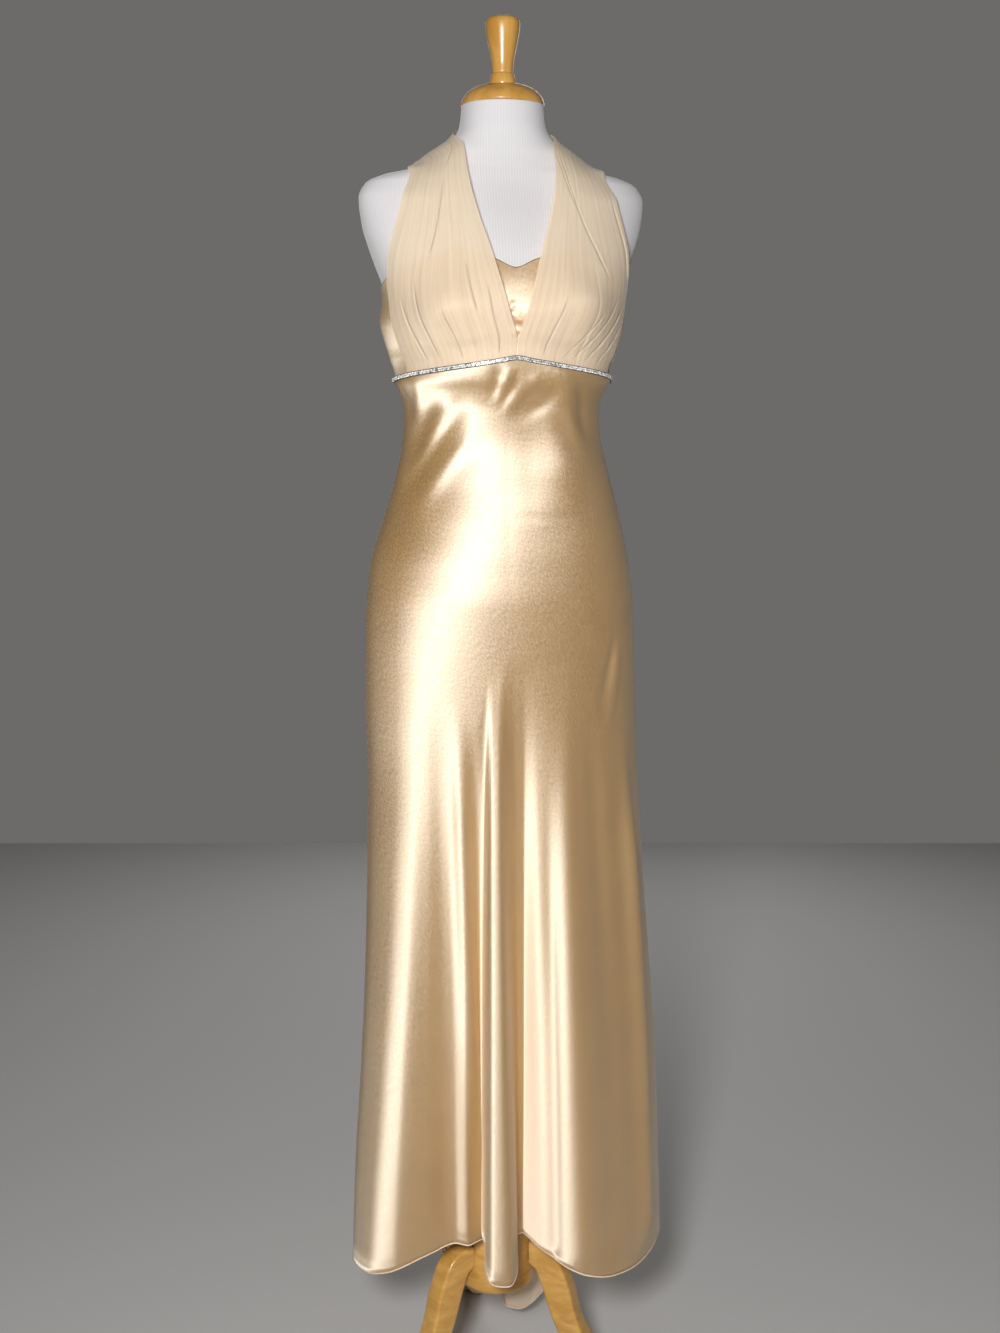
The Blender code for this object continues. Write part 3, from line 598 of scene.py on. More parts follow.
def creased(places, angles, creases):
    """The grid with its creases raised or sunk along its normals."""
    across, height = lengths(places, ACROSS), places[..., 2]
    rise = np.zeros(height.shape)
    t = np.linspace(0, 1, CREASE_STEPS + 1)
    for crease in creases:
        angle = between(crease.angle, crease.low_angle, t) + crease.bow * 4 * t * (1 - t)
        z = between(crease.height, crease.low_height, t)
        path = np.array([flat_place(across, height, angles, *pair) for pair in zip(angle, z)])
        reach = CREASE_REACH * max(crease.width, crease.low_width)
        low, high = path.min(0) - reach, path.max(0) + reach
        near = (across > low[0]) & (across < high[0]) & (height > low[1]) & (height < high[1])
        away, share = nearest_on(path, np.stack([across[near], height[near]], axis=1))
        width = between(crease.width, crease.low_width, share)
        strength = eased(share / crease.fade_in) * eased((1 - share) / crease.fade_out)
        rise[near] += crease.out * strength * np.exp(-((away / width) ** 2))
    rise *= eased((places[0, :, 2] - height) / CREASE_MARGIN)
    return places + outward_normals(places) * rise[..., None]


def shell(name, places, thickness, finish, slot, node, bias=0.0, reverse=None, **more):
    """A piece of cloth of the given thickness about a grid; more holds further layouts."""
    if not faces_out(places):
        places = places[:, ::-1]
        more = {title: layout[:, ::-1] for title, layout in more.items()}
    flat = flat_layout(places)
    layouts = {"flat": flat, "bias": turned_layout(flat, bias), **more}
    made = grid_object(name, places, layouts, finish)
    wall = made.modifiers.new("wall", "SOLIDIFY")
    wall.thickness, wall.offset, wall.use_even_offset = thickness, 0, False
    if reverse is not None:
        made.data.materials.append(reverse)
        wall.material_offset = 1
    return on_part(made, slot, node)


def tube(name, places, finish, slot, *nodes, sharp=None):
    """A piece through rings of places, with its ends filled and its faces turned out."""
    made = grid_object(name, places, {"flat": flat_layout(places)}, finish, joined=True)
    mesh = bmesh.new()
    mesh.from_mesh(made.data)
    bmesh.ops.holes_fill(mesh, edges=[edge for edge in mesh.edges if edge.is_boundary], sides=0)
    bmesh.ops.recalc_face_normals(mesh, faces=mesh.faces)
    mesh.to_mesh(made.data)
    mesh.free()
    if sharp is not None:
        made.data.set_sharp_from_angle(angle=math.radians(sharp))
    return on_part(made, slot, *nodes)


# ---- Materials ----


class Shader:
    """The nodes of a material or world, with short calls to add and join them."""

    def __init__(self, block, title, **surface):
        block.use_nodes = True
        self.block, self.tree = block, block.node_tree
        self.surface = self.tree.nodes[title]
        for key, value in surface.items():
            self.surface.inputs[key.replace("_", " ")].default_value = value

    def join(self, source, target):
        self.tree.links.new(source, target)

    def feed(self, source, title):
        self.join(source, self.surface.inputs[title])

    def add(self, kind, source=None, **settings):
        """A new node with its settings, and with a source joined to its first input."""
        node = self.tree.nodes.new("ShaderNode" + kind)
        for key, value in settings.items():
            title = key.replace("_", " ")
            if title in node.inputs:
                node.inputs[title].default_value = value
            else:
                setattr(node, key, value)
        if source is not None:
            self.join(source, node.inputs[0])
        return node

    def layout(self, name):
        return self.add("UVMap", uv_map=name).outputs[0]

    def place(self):
        return self.add("TexCoord").outputs["Object"]

    def scaled(self, place, scale):
        return self.add("Mapping", place, Scale=scale).outputs[0]

    def noise(self, place, **settings):
        return self.add("TexNoise", place, **settings).outputs[0]

    def total(self, first, second, **settings):
        node = self.add("Math", first, operation="ADD", **settings)
        self.join(second, node.inputs[1])
        return node.outputs[0]

    def spread(self, value, low, high, to_low=0.0, to_high=1.0):
        """The values from low to high, drawn out or in to run from to_low to to_high."""
        node = self.add("MapRange", value, From_Min=low, From_Max=high, To_Min=to_low, To_Max=to_high)
        return node.outputs[0]

    def blend(self, share, first, second):
        """A colour between two, each given as a colour or as the output that makes it."""
        node = self.add("Mix", share, data_type="RGBA")
        for title, colour in (("A", first), ("B", second)):
            if isinstance(colour, tuple):
                node.inputs[title].default_value = (*colour, 1)
            else:
                self.join(colour, node.inputs[title])
        return node.outputs["Result"]

    def ramp(self, value, low, dark, high, light):
        """Dark for values up to low, light for those from high, and a fade between."""
        node = self.add("ValToRGB", value)
        for stop, place, colour in zip(node.color_ramp.elements, (low, high), (dark, light)):
            stop.position, stop.color = place, (*colour, 1)
        return node.outputs[0]

    def raised(self, height, strength, distance):
        node = self.add("Bump", Strength=strength, Distance=distance)
        self.join(height, node.inputs["Height"])
        self.feed(node.outputs[0], "Normal")


def material(name, **surface):
    return Shader(bpy.data.materials.new(name), "Principled BSDF", **surface)


SATIN_IOR, SATIN_TINT = 3.8, (1.0, 0.93, 0.805, 1)
THREADS_PER_METRE = (460, 170, 1)
GLOSS_SPREAD = 0.06  # how much the roughness changes from thread to thread


def satin_material(name, light, dark, roughness, anisotropic):
    """Satin, whose gloss spreads along the bias layout and is uneven from thread to thread."""
    made = material(
        name,
        Roughness=roughness,
        Anisotropic=anisotropic,
        IOR=SATIN_IOR,
        Specular_IOR_Level=1.0,
        Specular_Tint=SATIN_TINT,
        Coat_Weight=0.5,
        Coat_Roughness=0.45,
    )
    threads = made.scaled(made.layout("bias"), THREADS_PER_METRE)
    grain = made.noise(threads, Scale=1.0, Detail=2.0)
    cloud = made.noise(made.layout("flat"), Scale=14.0, Detail=3.0)
    share = made.spread(made.total(grain, cloud), low=0.60, high=1.40)
    made.feed(made.blend(share, dark, light), "Base Color")
    ends = roughness - GLOSS_SPREAD, roughness + GLOSS_SPREAD
    made.feed(made.spread(grain, 0.35, 0.65, *ends), "Roughness")
    made.raised(grain, strength=0.65, distance=0.0004)
    tangent = made.add("Tangent", direction_type="UV_MAP", uv_map="bias")
    made.feed(tangent.outputs[0], "Tangent")
    return made.block


CHIFFON_THIN, CHIFFON_THICK = (0.93, 0.755, 0.56), (0.97, 0.825, 0.62)
# painted shade: the dark tone laid into the middle of each pinched crease
CHIFFON_PAINTED_SHADE = (0.25, 0.18, 0.13)
CHIFFON_COVER = (0.44, 0.58)  # how much of what lies behind one layer hides, thin and thick
STREAKS = (30, 1.6, 1)  # streaks across and along a panel


def chiffon_material():
    """Sheer gauze: streaks of closer threads, denser where it lies in two layers, and painted shade
    darkening the middle of each pinched crease.
    """
    made = material("chiffon_gauze", Roughness=0.85, Sheen_Weight=0.2, Specular_IOR_Level=0.2)
    place = made.scaled(made.layout("pleats"), STREAKS)
    streaks = made.noise(place, Scale=1.0, Detail=3.0, Roughness=0.6, Distortion=0.3)
    thick = made.spread(streaks, low=0.25, high=0.75)
    double_and_shade = made.add("SeparateXYZ", made.layout("doubling")).outputs[0]
    tone = made.blend(thick, CHIFFON_THIN, CHIFFON_THICK)
    # the pinches' middles take painted shade in their colour, and lie denser over what is behind
    made.feed(made.blend(double_and_shade, tone, CHIFFON_PAINTED_SHADE), "Base Color")
    cover = made.spread(thick, 0.0, 1.0, *CHIFFON_COVER)
    made.feed(made.total(cover, double_and_shade, use_clamp=True), "Alpha")
    return made.block


# The grooves' darker tone is painted shade in the recesses between the ribs.
JERSEY_GROOVE_SHADE, JERSEY_RIB = (0.66, 0.64, 0.65), (0.705, 0.685, 0.695)


def jersey_material():
    made = material("jersey_rib", Roughness=0.95, Sheen_Weight=0.3, Specular_IOR_Level=0.15)
    bands = {"wave_type": "BANDS", "bands_direction": "X", "Scale": 82.0, "Distortion": 0.15}
    ribs = made.add("TexWave", made.layout("flat"), **bands).outputs[1]
    made.feed(made.blend(ribs, JERSEY_GROOVE_SHADE, JERSEY_RIB), "Base Color")
    made.raised(ribs, strength=0.15, distance=0.0006)
    return made.block


def wood_material(name, light, dark, stretch):
    """Varnished wood, its grain drawn out along the direction of the smallest stretch."""
    made = material(name, Roughness=0.32, Coat_Weight=0.3, Coat_Roughness=0.15)
    place = made.scaled(made.place(), stretch)
    grain = made.noise(place, Scale=1.0, Detail=6.0, Roughness=0.6, Distortion=0.6)
    made.feed(made.ramp(grain, 0.38, dark, 0.62, light), "Base Color")
    made.raised(grain, strength=0.08, distance=0.0005)
    return made.block


def speckled_material(name, light, dark, scale, roughness, metallic=0.0):
    """A close uneven tone, as of wound thread or dull plated metal."""
    made = material(name, Roughness=roughness, Metallic=metallic)
    grain = made.noise(made.place(), Scale=scale, Detail=2.0)
    made.feed(made.ramp(grain, 0.40, dark, 0.60, light), "Base Color")
    made.raised(grain, strength=0.3, distance=0.0002)
    return made.block


# Painted reflections of the stones' facets: dark where the room would mirror dark, a near-white glint
# where it would mirror light.
FACET_PAINTED_DARK, FACET_PAINTED_GLINT = (0.16, 0.155, 0.15), (1.0, 0.98, 0.95)


def crystal_material():
    """Clear stones over foil, with painted reflections: each facet is painted light or dark, as if the
    room shone in it.
    """
    made = material("stone_crystal", Roughness=0.25, Metallic=0.15)
    facets = made.add("TexVoronoi", made.place(), Scale=620.0).outputs["Color"]
    made.feed(made.ramp(facets, 0.28, FACET_PAINTED_DARK, 0.50, FACET_PAINTED_GLINT), "Base Color")
    return made.block


satin = satin_material("satin_bias", (0.66, 0.335, 0.046), (0.52, 0.245, 0.029), 0.70, 0.88)
satin_reverse = satin_material("satin_reverse", (0.90, 0.70, 0.50), (0.84, 0.64, 0.44), 0.88, 0.3)
hem_thread = speckled_material("hem_thread", (0.92, 0.72, 0.55), (0.78, 0.58, 0.43), 900, 0.6)
chiffon = chiffon_material()
metal = speckled_material("stone_setting", (0.24, 0.23, 0.23), (0.16, 0.15, 0.15), 500, 0.4, 0.8)
crystal = crystal_material()
jersey = jersey_material()
honey = wood_material("wood_honey", (0.70, 0.385, 0.092), (0.53, 0.255, 0.049), (34, 34, 5))
birch = wood_material("wood_legs", (0.72, 0.41, 0.108), (0.58, 0.30, 0.064), (20, 20, 60))


# ---- The skirt ----

SKIRT_COLUMNS, SKIRT_ROWS = 240, 190
HEM_SAMPLES = 4001
ROW_CROWDING = 1.1  # above 1 the rows lie closer together near the seam
HEM_BEAD, BEAD_SIDES = 0.0012, 6  # radius and sides of the overlocked hem
# Degrees from the flat layout's across direction to the way that the gloss spreads
BIAS_TURN, BODICE_TURN = -38.0, -20.0


def skirt_grid(folds):
    """Places and hem angles of a skirt panel, from the seam down to the hem."""
    curve, first, last = Curve(folds), folds[0].hem_angle, folds[-1].hem_angle
    fine = np.linspace(first, last, HEM_SAMPLES)
    hem = points(fine, curve.at(fine, "radius"), HEM_CURVE.at(fine, "height"))
    steps = np.linalg.norm(np.diff(hem, axis=0), axis=1)
    steps += SKIRT_RADIUS * np.radians(np.diff(curve.at(fine, "hip_angle")))
    run = np.concatenate([[0], np.cumsum(steps)])
    hem_angle = np.interp(np.linspace(0, run[-1], SKIRT_COLUMNS + 1), run, fine)
    hip_angle = curve.at(hem_angle, "hip_angle")
    hem_height = HEM_CURVE.at(hem_angle, "height")
    top = seam_height(hip_angle)
    down = (np.arange(SKIRT_ROWS + 1) / SKIRT_ROWS)[:, None] ** ROW_CROWDING
    height = between(top, hem_height, down)
    fall = np.clip((HIP - height) / (HIP - hem_height), 0, 1)
    inset = math.degrees(SEAM_GAP / 2 / SKIRT_RADIUS)
    angle = np.clip(between(hip_angle, hem_angle, fall), first + inset, last - inset)
    start = curve.at(hem_angle, "start")
    depth = curve.at(hem_angle, "radius") - gown_radius(hem_angle, hem_height)
    grown = np.clip((start - height) / (start - hem_height), 0, 1) ** DRAPE
    places = points(angle, gown_radius(angle, height) + depth * grown, height)
    return places, np.broadcast_to(hem_angle, height.shape)


def rolled_edge(name, line):
    """The thin rolled edge along a line of places."""
    turns = np.radians(full_turn(BEAD_SIDES))[:, None]
    run = unit(np.gradient(line, axis=0))
    side = unit(np.cross(run, (0, 0, 1)))
    round_it = np.cos(turns) * side[:, None] + np.sin(turns) * np.cross(side, run)[:, None]
    return tube(name, line[:, None] + HEM_BEAD * round_it, hem_thread, "satin")


def skirt_panel(word, folds, creases):
    """A panel of the skirt and its rolled hem."""
    places = creased(*skirt_grid(folds), creases)
    name, node = f"skirt_{word}_satin", f"skirt_{word}"
    panel = shell(name, places, SHELL, satin, "satin", node, BIAS_TURN, satin_reverse)
    return panel, rolled_edge(f"hem_{word}_rolled", places[-1])


front, front_hem = skirt_panel("front", FRONT_FOLDS, FRONT_CREASES)
back, back_hem = skirt_panel("back", BACK_FOLDS, BACK_CREASES)


# ---- The bandeau ----

FRONT_BAND_GRID, BACK_BAND_GRID = (220, 80), (120, 40)  # columns and rows


def bandeau_panel(word, top, columns, rows, creases=()):
    inset = math.degrees(SEAM_GAP / 2 / BODICE_RADIUS)
    angle = np.linspace(top[0].angle + inset, top[-1].angle - inset, columns + 1)
    low = seam_height(angle) + SEAM_GAP
    share = np.linspace(1, 0, rows + 1)[:, None]
    height = between(low, Curve(top).at(angle, "height"), share)
    places = points(angle, bandeau_radius(angle, height), height)
    if creases:
        places = creased(places, np.broadcast_to(angle, height.shape), creases)
    name = f"bodice_{word}_satin"
    return shell(name, places, SHELL, satin, "satin", f"bodice_{word}", BODICE_TURN)


bodice_front = bandeau_panel("front", BANDEAU_TOP, *FRONT_BAND_GRID, BANDEAU_CREASES)
bodice_back = bandeau_panel("back", BACK_BAND_TOP, *BACK_BAND_GRID)


# ---- The chiffon ----

# A pinched gather of a chiffon panel: the share across the panel at its upper and lower ends, and how
# far along from the seam those ends lie.
PINCH = "high_across low_across high_along low_along width depth"
LEFT_PINCHES = table(
    PINCH,
    (0.24, 0.46, 0.94, 0.83, 0.01, 0.0016),
    (0.46, 0.61, 0.8, 0.42, 0.009, 0.0016),
    (0.28, 0.25, 0.42, 0.2, 0.009, 0.0013),
    (0.72, 0.66, 0.36, 0.02, 0.01, 0.0011),
    (0.86, 0.76, 0.3, 0.02, 0.01, 0.0013),
    (0.12, 0.16, 0.34, 0.02, 0.009, 0.001),
    (0.5, 0.47, 0.24, 0.02, 0.008, 0.001),
)
RIGHT_PINCHES = table(
    PINCH,
    (0.03, 0.42, 0.9, 0.62, 0.01, 0.0015),
    (0.1, 0.72, 0.94, 0.34, 0.011, 0.0018),
    (0.93, 0.97, 0.72, 0.36, 0.011, 0.0016),
    (0.95, 0.64, 0.28, 0.03, 0.012, 0.0018),
    (0.84, 0.52, 0.3, 0.03, 0.01, 0.0015),
    (0.98, 0.78, 0.2, 0.03, 0.01, 0.0016),
    (0.66, 0.42, 0.24, 0.02, 0.009, 0.0012),
    (0.3, 0.24, 0.3, 0.02, 0.009, 0.0011),
)
PINCH_GROWS, PINCH_DIES = 0.25, 0.15  # shares of its length
PINCH_RIDGE, PINCH_RIDGE_AT = 0.3, 1.6  # share of its depth, and half-widths beside its middle
DOUBLED_AND_SHADE_SHARE = 0.9  # how much of a pinch's middle is denser and darkened with painted shade
DOUBLED_AND_SHADE_WIDTH = 0.5  # in half-widths of the pinch

# Ranges of the fine gathers: places and widths are shares across, reaches are lengths along
GATHERS, GATHERS_AT_SEAM = 24, 0.6
GATHER_PLACES, GATHER_LEANS, GATHER_WIDTHS = (0.03, 0.97), (-0.06, 0.06), (0.008, 0.026)
GATHER_DEPTHS, GATHER_REACHES, NECK_REACH_MORE = (0.0002, 0.0006), (0.25, 0.75), 0.2
GATHER_ROOM = 0.0012  # between the gathered cloth and what it lies on
SEWN_WAVE, SEWN_OVER = 0.3, 0.030  # the gathers' share in the seam, and the height that frees them
HALTER_COLUMNS, HALTER_ROWS = 240, 150
PANEL_END = HALTER_STATIONS[-1].along


def gathers(across, along, pinches, seed):
    """Fine uneven gathers, deepest at the seam and at the neck, and the few pinched ones.

    Beside the height of each place it gives how far the cloth lies in two layers there, which also
    sets its painted shade.
    """
    rng = np.random.default_rng(seed)
    total = np.zeros(np.broadcast(across, along).shape)
    doubled_and_shade = np.zeros_like(total)
    for _ in range(GATHERS):
        centre = rng.uniform(*GATHER_PLACES)
        lean = rng.uniform(*GATHER_LEANS)
        width = rng.uniform(*GATHER_WIDTHS)
        depth = rng.uniform(*GATHER_DEPTHS) * rng.choice([-1, 1])
        from_seam = rng.random() < GATHERS_AT_SEAM
        reach = rng.uniform(*GATHER_REACHES)
        share = along / reach if from_seam else (PANEL_END - along) / (reach + NECK_REACH_MORE)
        total += depth * eased(1 - share) * np.exp(-(((across - centre - lean * along) / width) ** 2))
    for pinch in pinches:
        share = (pinch.high_along - along) / (pinch.high_along - pinch.low_along)
        centre = between(pinch.high_across, pinch.low_across, np.clip(share, 0, 1))
        strength = eased(share / PINCH_GROWS) * eased((1 - share) / PINCH_DIES)
        near = (across - centre) / pinch.width
        ridge = PINCH_RIDGE * np.exp(-((near - PINCH_RIDGE_AT) ** 2))
        total += pinch.depth * strength * (ridge - np.exp(-(near**2)))
        # the middle of each pinch is denser cloth and is darkened with painted shade
        doubled_and_shade += DOUBLED_AND_SHADE_SHARE * strength * np.exp(-((near / DOUBLED_AND_SHADE_WIDTH) ** 2))
    return total, np.clip(doubled_and_shade, 0, 1)


def halter_panel(word, side, pinches, seed):
    """A chiffon panel from the seam up to the neck, on the side of the sign given."""
    along = (np.linspace(0, 1, HALTER_ROWS + 1) * PANEL_END)[:, None]
    ends = [STATION_CURVE.at(along, column) for column in HALTER_STATIONS[0]._fields[1:]]
    inner_angle, inner_height, outer_angle, outer_height = ends
    across = np.linspace(0, 1, HALTER_COLUMNS + 1)[None]
    angle = between(inner_angle, outer_angle, across)
    height = between(inner_height, outer_height, across)
    height[0] = seam_height(angle[0]) + SEAM_GAP
    seam = seam_height(angle)
    free = eased((height - seam - TRIM_WIDTH) / SEWN_OVER)
    wave, doubled_and_shade = gathers(across, along, pinches, seed)
    sewn = gown_radius(side * angle, seam) + SEWN_WAVE * wave
    loose = halter_radius(angle, height, GATHER_ROOM) + wave
    places = points(side * angle, between(sewn, loose, free), height)
    layouts = {
        "pleats": np.stack(np.broadcast_arrays(across, along), axis=-1),
        "doubling": np.stack([doubled_and_shade, np.zeros_like(doubled_and_shade)], axis=-1),
    }
    name, node = f"halter_{word}_chiffon", f"halter_{word}"
    return shell(name, places, GAUZE, chiffon, "chiffon", node, **layouts)


NECK_COLUMNS, NECK_ROWS = 41, 21
NECK_PLEATS = (0.3, 0.4)  # the shares of a panel's pleats that run on round the neck


def neck_piece():
    low, high = HALTER_STATIONS[-1].outer_height, HALTER_STATIONS[-1].inner_height
    angle = np.linspace(NECK_BAND_START, NECK_BAND_END, NECK_COLUMNS)
    height = np.linspace(high, low, NECK_ROWS)[:, None]
    places = points(angle, under_chiffon(angle, height) + NECK_GAP + CHIFFON / 2, height)
    shares = [np.linspace(0, most, n) for most, n in zip(NECK_PLEATS, (NECK_COLUMNS, NECK_ROWS))]
    pleats = np.stack(np.meshgrid(*shares), axis=-1)
    layouts = {"pleats": pleats, "doubling": np.zeros_like(pleats)}
    return shell("neck_band_chiffon", places, CHIFFON, chiffon, "chiffon", "neck_band", **layouts)


halter_left = halter_panel("left", -1, LEFT_PINCHES, seed=3)
halter_right = halter_panel("right", 1, RIGHT_PINCHES, seed=7)
neck_band = neck_piece()


# ---- The trim ----

RIBBON_THICKNESS, RIBBON_SINKS, RIBBON_COLUMNS, RIBBON_ROWS = 0.0009, 0.0003, 361, 5
LINE_SAMPLES = 2001
STONE_PITCH, STONE_RADIUS, STONE_HEIGHT, STONE_SIDES = 0.00275, 0.00138, 0.0011, 8
STONE_OUT, STONE_STAGGER, STONE_SEED = 0.0003, 0.46, 11
STONE_ASIDE = 0.2  # degrees to the place beside a stone that it is lined up with
STONE_TILT = 0.10  # radians at most
STONE_RINGS = ((0.80, -0.0004), (1.0, 0.0002), (0.62, STONE_HEIGHT))  # share of radius, and lift


def trim_line(angle, up, out):
    seam = seam_height(angle)
    offset = SATIN / 2 + CHIFFON / 2 + SEAM_GAP + TRIM_THICKNESS / 2 + out
    return points(angle, gown_radius(angle, seam) + offset, seam + up)


def ribbon_piece():
    angle = np.linspace(-TRIM_END_ANGLE, TRIM_END_ANGLE, RIBBON_COLUMNS)
    up = np.linspace(TRIM_WIDTH / 2, -TRIM_WIDTH / 2, RIBBON_ROWS)[:, None]
    places = trim_line(angle, up, -RIBBON_SINKS)
    return shell("trim_ribbon", places, RIBBON_THICKNESS, metal, "rhinestones", "trim_band")


def stone_seat(angle, up, rng):
    """Where a stone is set, each one tilted and turned a little differently."""
    centre, beside = trim_line(angle, up, STONE_OUT), trim_line(angle + STONE_ASIDE, up, STONE_OUT)
    across = Vector(beside - centre).normalized()
    outward = Vector((math.sin(math.radians(angle)), -math.cos(math.radians(angle)), 0))
    rise = outward.cross(across).normalized()
    seat = Matrix.Translation(Vector(centre)) @ Matrix((across, rise, outward)).transposed().to_4x4()
    for axis in ("X", "Y"):
        seat = seat @ Matrix.Rotation(rng.uniform(-STONE_TILT, STONE_TILT), 4, axis)
    return seat @ Matrix.Rotation(rng.uniform(0, 2 * math.pi / STONE_SIDES), 4, "Z")


def add_stone(mesh, seat):
    rings, turns = [], np.radians(full_turn(STONE_SIDES))
    for share, lift in STONE_RINGS:
        reach = STONE_RADIUS * share
        spots = [Vector((reach * math.cos(turn), reach * math.sin(turn), lift)) for turn in turns]
        rings.append([mesh.verts.new(seat @ spot) for spot in spots])
    for lower, upper in zip(rings, rings[1:]):
        for k in range(STONE_SIDES):
            after = (k + 1) % STONE_SIDES
            mesh.faces.new((lower[k], lower[after], upper[after], upper[k]))
    mesh.faces.new(rings[-1])
    mesh.faces.new(rings[0][::-1])


def stones():
    """Two staggered rows of faceted stones along the trim."""
    fine = np.linspace(-TRIM_END_ANGLE, TRIM_END_ANGLE, LINE_SAMPLES)
    line = trim_line(fine, 0.0, 0.0)
    run = np.concatenate([[0], np.cumsum(np.linalg.norm(np.diff(line, axis=0), axis=1))])
    rng = np.random.default_rng(STONE_SEED)
    mesh = bmesh.new()
    for row, up in enumerate((STONE_PITCH * STONE_STAGGER, -STONE_PITCH * STONE_STAGGER)):
        for number in range(int(run[-1] / STONE_PITCH)):
            at = (number + (1 + row) / 2) * STONE_PITCH
            if at <= run[-1] - STONE_RADIUS:
                add_stone(mesh, stone_seat(np.interp(at, run, fine), up, rng))
    return on_part(object_from(mesh, "trim_stones", crystal), "rhinestones")


ribbon = ribbon_piece()
trim_stones = stones()


# ---- The form and its stand ----

NECK_LINES, TORSO_LINES = (1.9, 1.78, 70), (1.777, 1.06, 170)  # from, to and how many
FORM_COLUMNS, TURNED_SIDES, POLE_SIDES, SHARP_EDGE = 180, 96, 32, 50
CAP_STEPS, FINIAL_STEPS, ROUND_STEPS = 40, 60, 8
LEG_STEPS, LEG_CORNER, CORNER_POINTS = 60, 0.005, 5  # the corner's radius, and points on its arc


def form_skin():
    """The torso's padded cover, closed at the neck and across the bottom."""
    height = np.concatenate([np.linspace(*NECK_LINES), np.linspace(*TORSO_LINES)])[:, None]
    angle = full_turn(FORM_COLUMNS) - 180
    places = points(angle, form_radius(angle, height), height)
    return tube("form_jersey", places, jersey, "jersey", "form_torso")


def turned(name, profile, where, finish, node, sides=TURNED_SIDES):
    """A lathe-turned piece from its (height, radius) profile."""
    height, radius = np.array(profile).T[..., None]
    places = points(full_turn(sides) + 90, radius, height, where)
    return tube(name, places, finish, "wood", node, sharp=SHARP_EDGE)


def smooth_profile(rows, steps):
    curve = Curve(rows)
    heights = np.linspace(rows[0].height, rows[-1].height, steps)
    return [(height, curve.at(height, "radius")) for height in heights]


def rounded(bottom, top, radius, edge):
    """The profile of a drum with round rims."""
    profile = []
    for centre, first in ((bottom + edge, -90), (top - edge, 0)):
        for step in range(ROUND_STEPS + 1):
            turn = math.radians(first + 90 * step / ROUND_STEPS)
            profile.append((centre + edge * math.sin(turn), radius - edge + edge * math.cos(turn)))
    return profile


def leg(number, angle):
    """A flat curved board with rounded long edges, standing on its foot."""
    reach = np.linspace(LEG[0].reach, LEG[-1].reach, LEG_STEPS + 1)
    middle = np.stack([reach, LEG_CURVE.at(reach, "height")], axis=1)
    run = unit(np.gradient(middle, axis=0))
    run[0] = (1, 0)
    half = LEG_CURVE.at(reach, "width")[:, None] / 2 - LEG_CORNER
    corner = np.linspace(0, 90, CORNER_POINTS)
    turns = np.radians(np.concatenate([corner + first for first in (0, 90, 180, 270)]))
    sideways = np.repeat((1, -1, -1, 1), CORNER_POINTS)
    upward = np.repeat((1, 1, -1, -1), CORNER_POINTS)
    side = sideways * (LEG_THICKNESS / 2 - LEG_CORNER) + LEG_CORNER * np.cos(turns)
    up = upward * half + LEG_CORNER * np.sin(turns)
    out = middle[:, :1] - run[:, 1:] * up
    height = np.maximum(middle[:, 1:] + run[:, :1] * up, 0.0)
    turn = math.radians(angle)
    x = POLE.x + out * math.sin(turn) + side * math.cos(turn)
    y = POLE.y - out * math.cos(turn) + side * math.sin(turn)
    places, name = np.stack([x, y, height], axis=-1), f"stand_leg_{number}"
    return tube(name, places, birch, "wood", f"leg_{number}", sharp=SHARP_EDGE)


form_skin()
turned("cap_turned", smooth_profile(NECK_CAP, CAP_STEPS), AXIS, honey, "neck_cap")
finial = [*COLLAR, *smooth_profile(FINIAL, FINIAL_STEPS), *CROWN]
turned("finial_turned", finial, AXIS, honey, "finial")
turned("hub_turned", rounded(HUB_BOTTOM, HUB_TOP, HUB_RADIUS, HUB_EDGE), POLE, birch, "hub")
pole = [(HUB_TOP + POLE_GAP, POLE_RADIUS), (FORM[0].height - POLE_GAP, POLE_RADIUS)]
turned("pole_turned", pole, POLE, birch, "pole", POLE_SIDES)
for number, angle in enumerate(LEG_ANGLES, 1):
    leg(number, angle)

# ---- Sheets ----

LEAST_AREA = 0.31  # the smallest share of its length times its width that a cut is given as


def declare(made):
    """Works out a piece's cut, its largest width and length laid flat and the area that they hold, and
    keeps none of it.
    """
    flat = np.zeros(len(made.data.loops) * 2, np.float32)
    made.data.uv_layers["flat"].data.foreach_get("uv", flat)
    flat = flat.reshape(-1, 2)
    size = flat.max(0) - flat.min(0)
    area = sum(face.area for face in made.data.polygons)
    area = min(max(area, LEAST_AREA * size[0] * size[1]), size[0] * size[1])


declare(front)
declare(back)
for panel in (bodice_front, bodice_back, neck_band):
    declare(panel)
for panel in (halter_left, halter_right):
    declare(panel)
declare(ribbon)

# ---- Stage, light and camera ----

PHOTO_TURN, DISTANCE, EYE_HEIGHT, LOOKS_DOWN, SHIFTED = -9.0, 2.28, 1.47, 8.6, 0.0036
SENSOR, FOCAL_PIXELS, PHOTO_PIXELS = 36, 1600, 1333  # millimetres, and pixels of the photo's height
FLOOR_HALF, FLOOR_TONE, FLOOR_ROUGHNESS = 3.2, (0.60, 0.59, 0.58, 1), 0.9
ROOM_DARK, ROOM_LIGHT = (0.022, 0.021, 0.020), (0.15, 0.147, 0.142)
LIGHTS_AIM = AXIS + Vector((0, 0, 1.1))
FLASH_ABOVE, FLASH_LEFT = 0.16, 0.20  # of the camera
SKY_PLACE, BACK_PLACE = Vector((-0.6, -1.2, 3.2)), Vector((0.7, 3.0, 2.2))


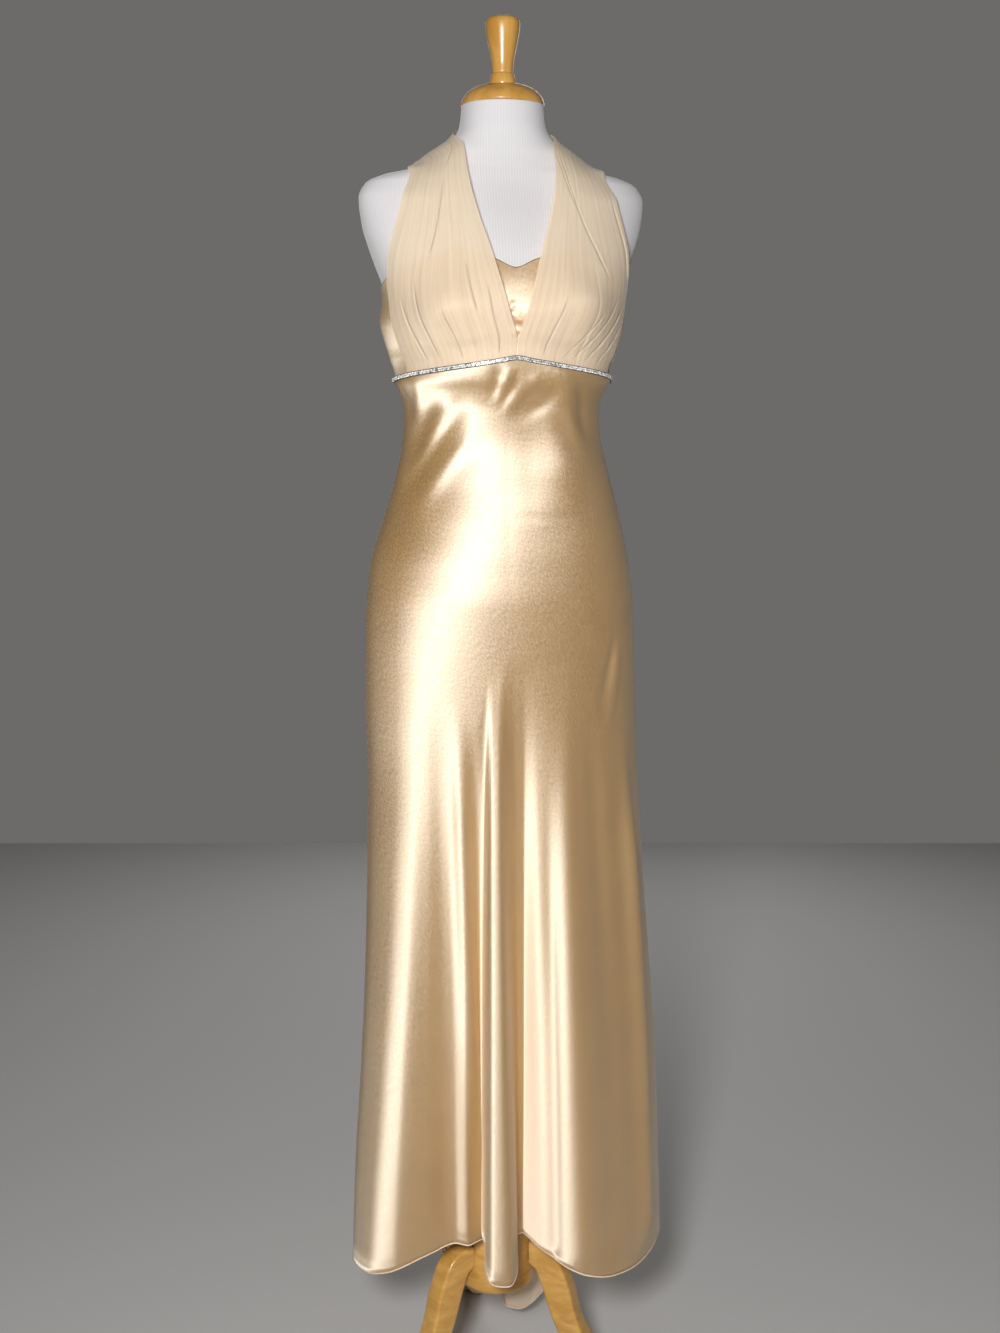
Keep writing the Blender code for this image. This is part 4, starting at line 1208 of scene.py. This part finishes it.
def floor(turn):
    tone = material("floor", Base_Color=FLOOR_TONE, Roughness=FLOOR_ROUGHNESS)
    mesh = bmesh.new()
    bmesh.ops.create_grid(mesh, x_segments=1, y_segments=1, size=FLOOR_HALF)
    made = object_from(mesh, "floor", tone.block)
    made.rotation_euler = (0, 0, turn)


def area_light(name, where, size, power, colour=(1, 1, 1)):
    light = bpy.data.lights.new(name, "AREA")
    light.shape, light.size, light.energy, light.color = "DISK", size, power, colour
    made = add_object(name, light)
    made.location = where
    made.rotation_euler = (LIGHTS_AIM - where).to_track_quat("-Z", "Y").to_euler()


def room():
    """A dim room, lighter behind the gown."""
    world = bpy.data.worlds.new("room")
    bpy.context.scene.world = world
    made = Shader(world, "Background", Strength=1.0)
    look = made.add("TexCoord").outputs["Generated"]
    backward = made.add("SeparateXYZ", look).outputs["Y"]
    share = made.spread(backward, -1.0, 1.0)
    made.feed(made.ramp(share, 0.45, ROOM_DARK, 0.85, ROOM_LIGHT), "Color")


turn, down = math.radians(PHOTO_TURN), math.radians(LOOKS_DOWN)
RIGHT = Vector((math.cos(turn), math.sin(turn), 0))
TOWARD = Vector((math.sin(turn), -math.cos(turn), 0))
camera = add_object("camera", bpy.data.cameras.new("camera"))
camera.data.sensor_width, camera.data.lens = SENSOR, FOCAL_PIXELS * SENSOR / PHOTO_PIXELS
camera.location = AXIS + TOWARD * DISTANCE - RIGHT * SHIFTED + Vector((0, 0, EYE_HEIGHT))
forward = -TOWARD * math.cos(down) - Vector((0, 0, math.sin(down)))
camera.rotation_euler = forward.to_track_quat("-Z", "Y").to_euler()
bpy.context.scene.camera = camera

floor(turn)
room()
flash = camera.location + Vector((0, 0, FLASH_ABOVE)) - RIGHT * FLASH_LEFT
area_light("flash", flash, size=0.30, power=56)
area_light("sky", AXIS + SKY_PLACE, size=2.2, power=3, colour=(1.0, 0.97, 0.93))
area_light("back_light", AXIS + BACK_PLACE, size=1.8, power=26)
bpy.context.scene.view_settings.view_transform = "Standard"
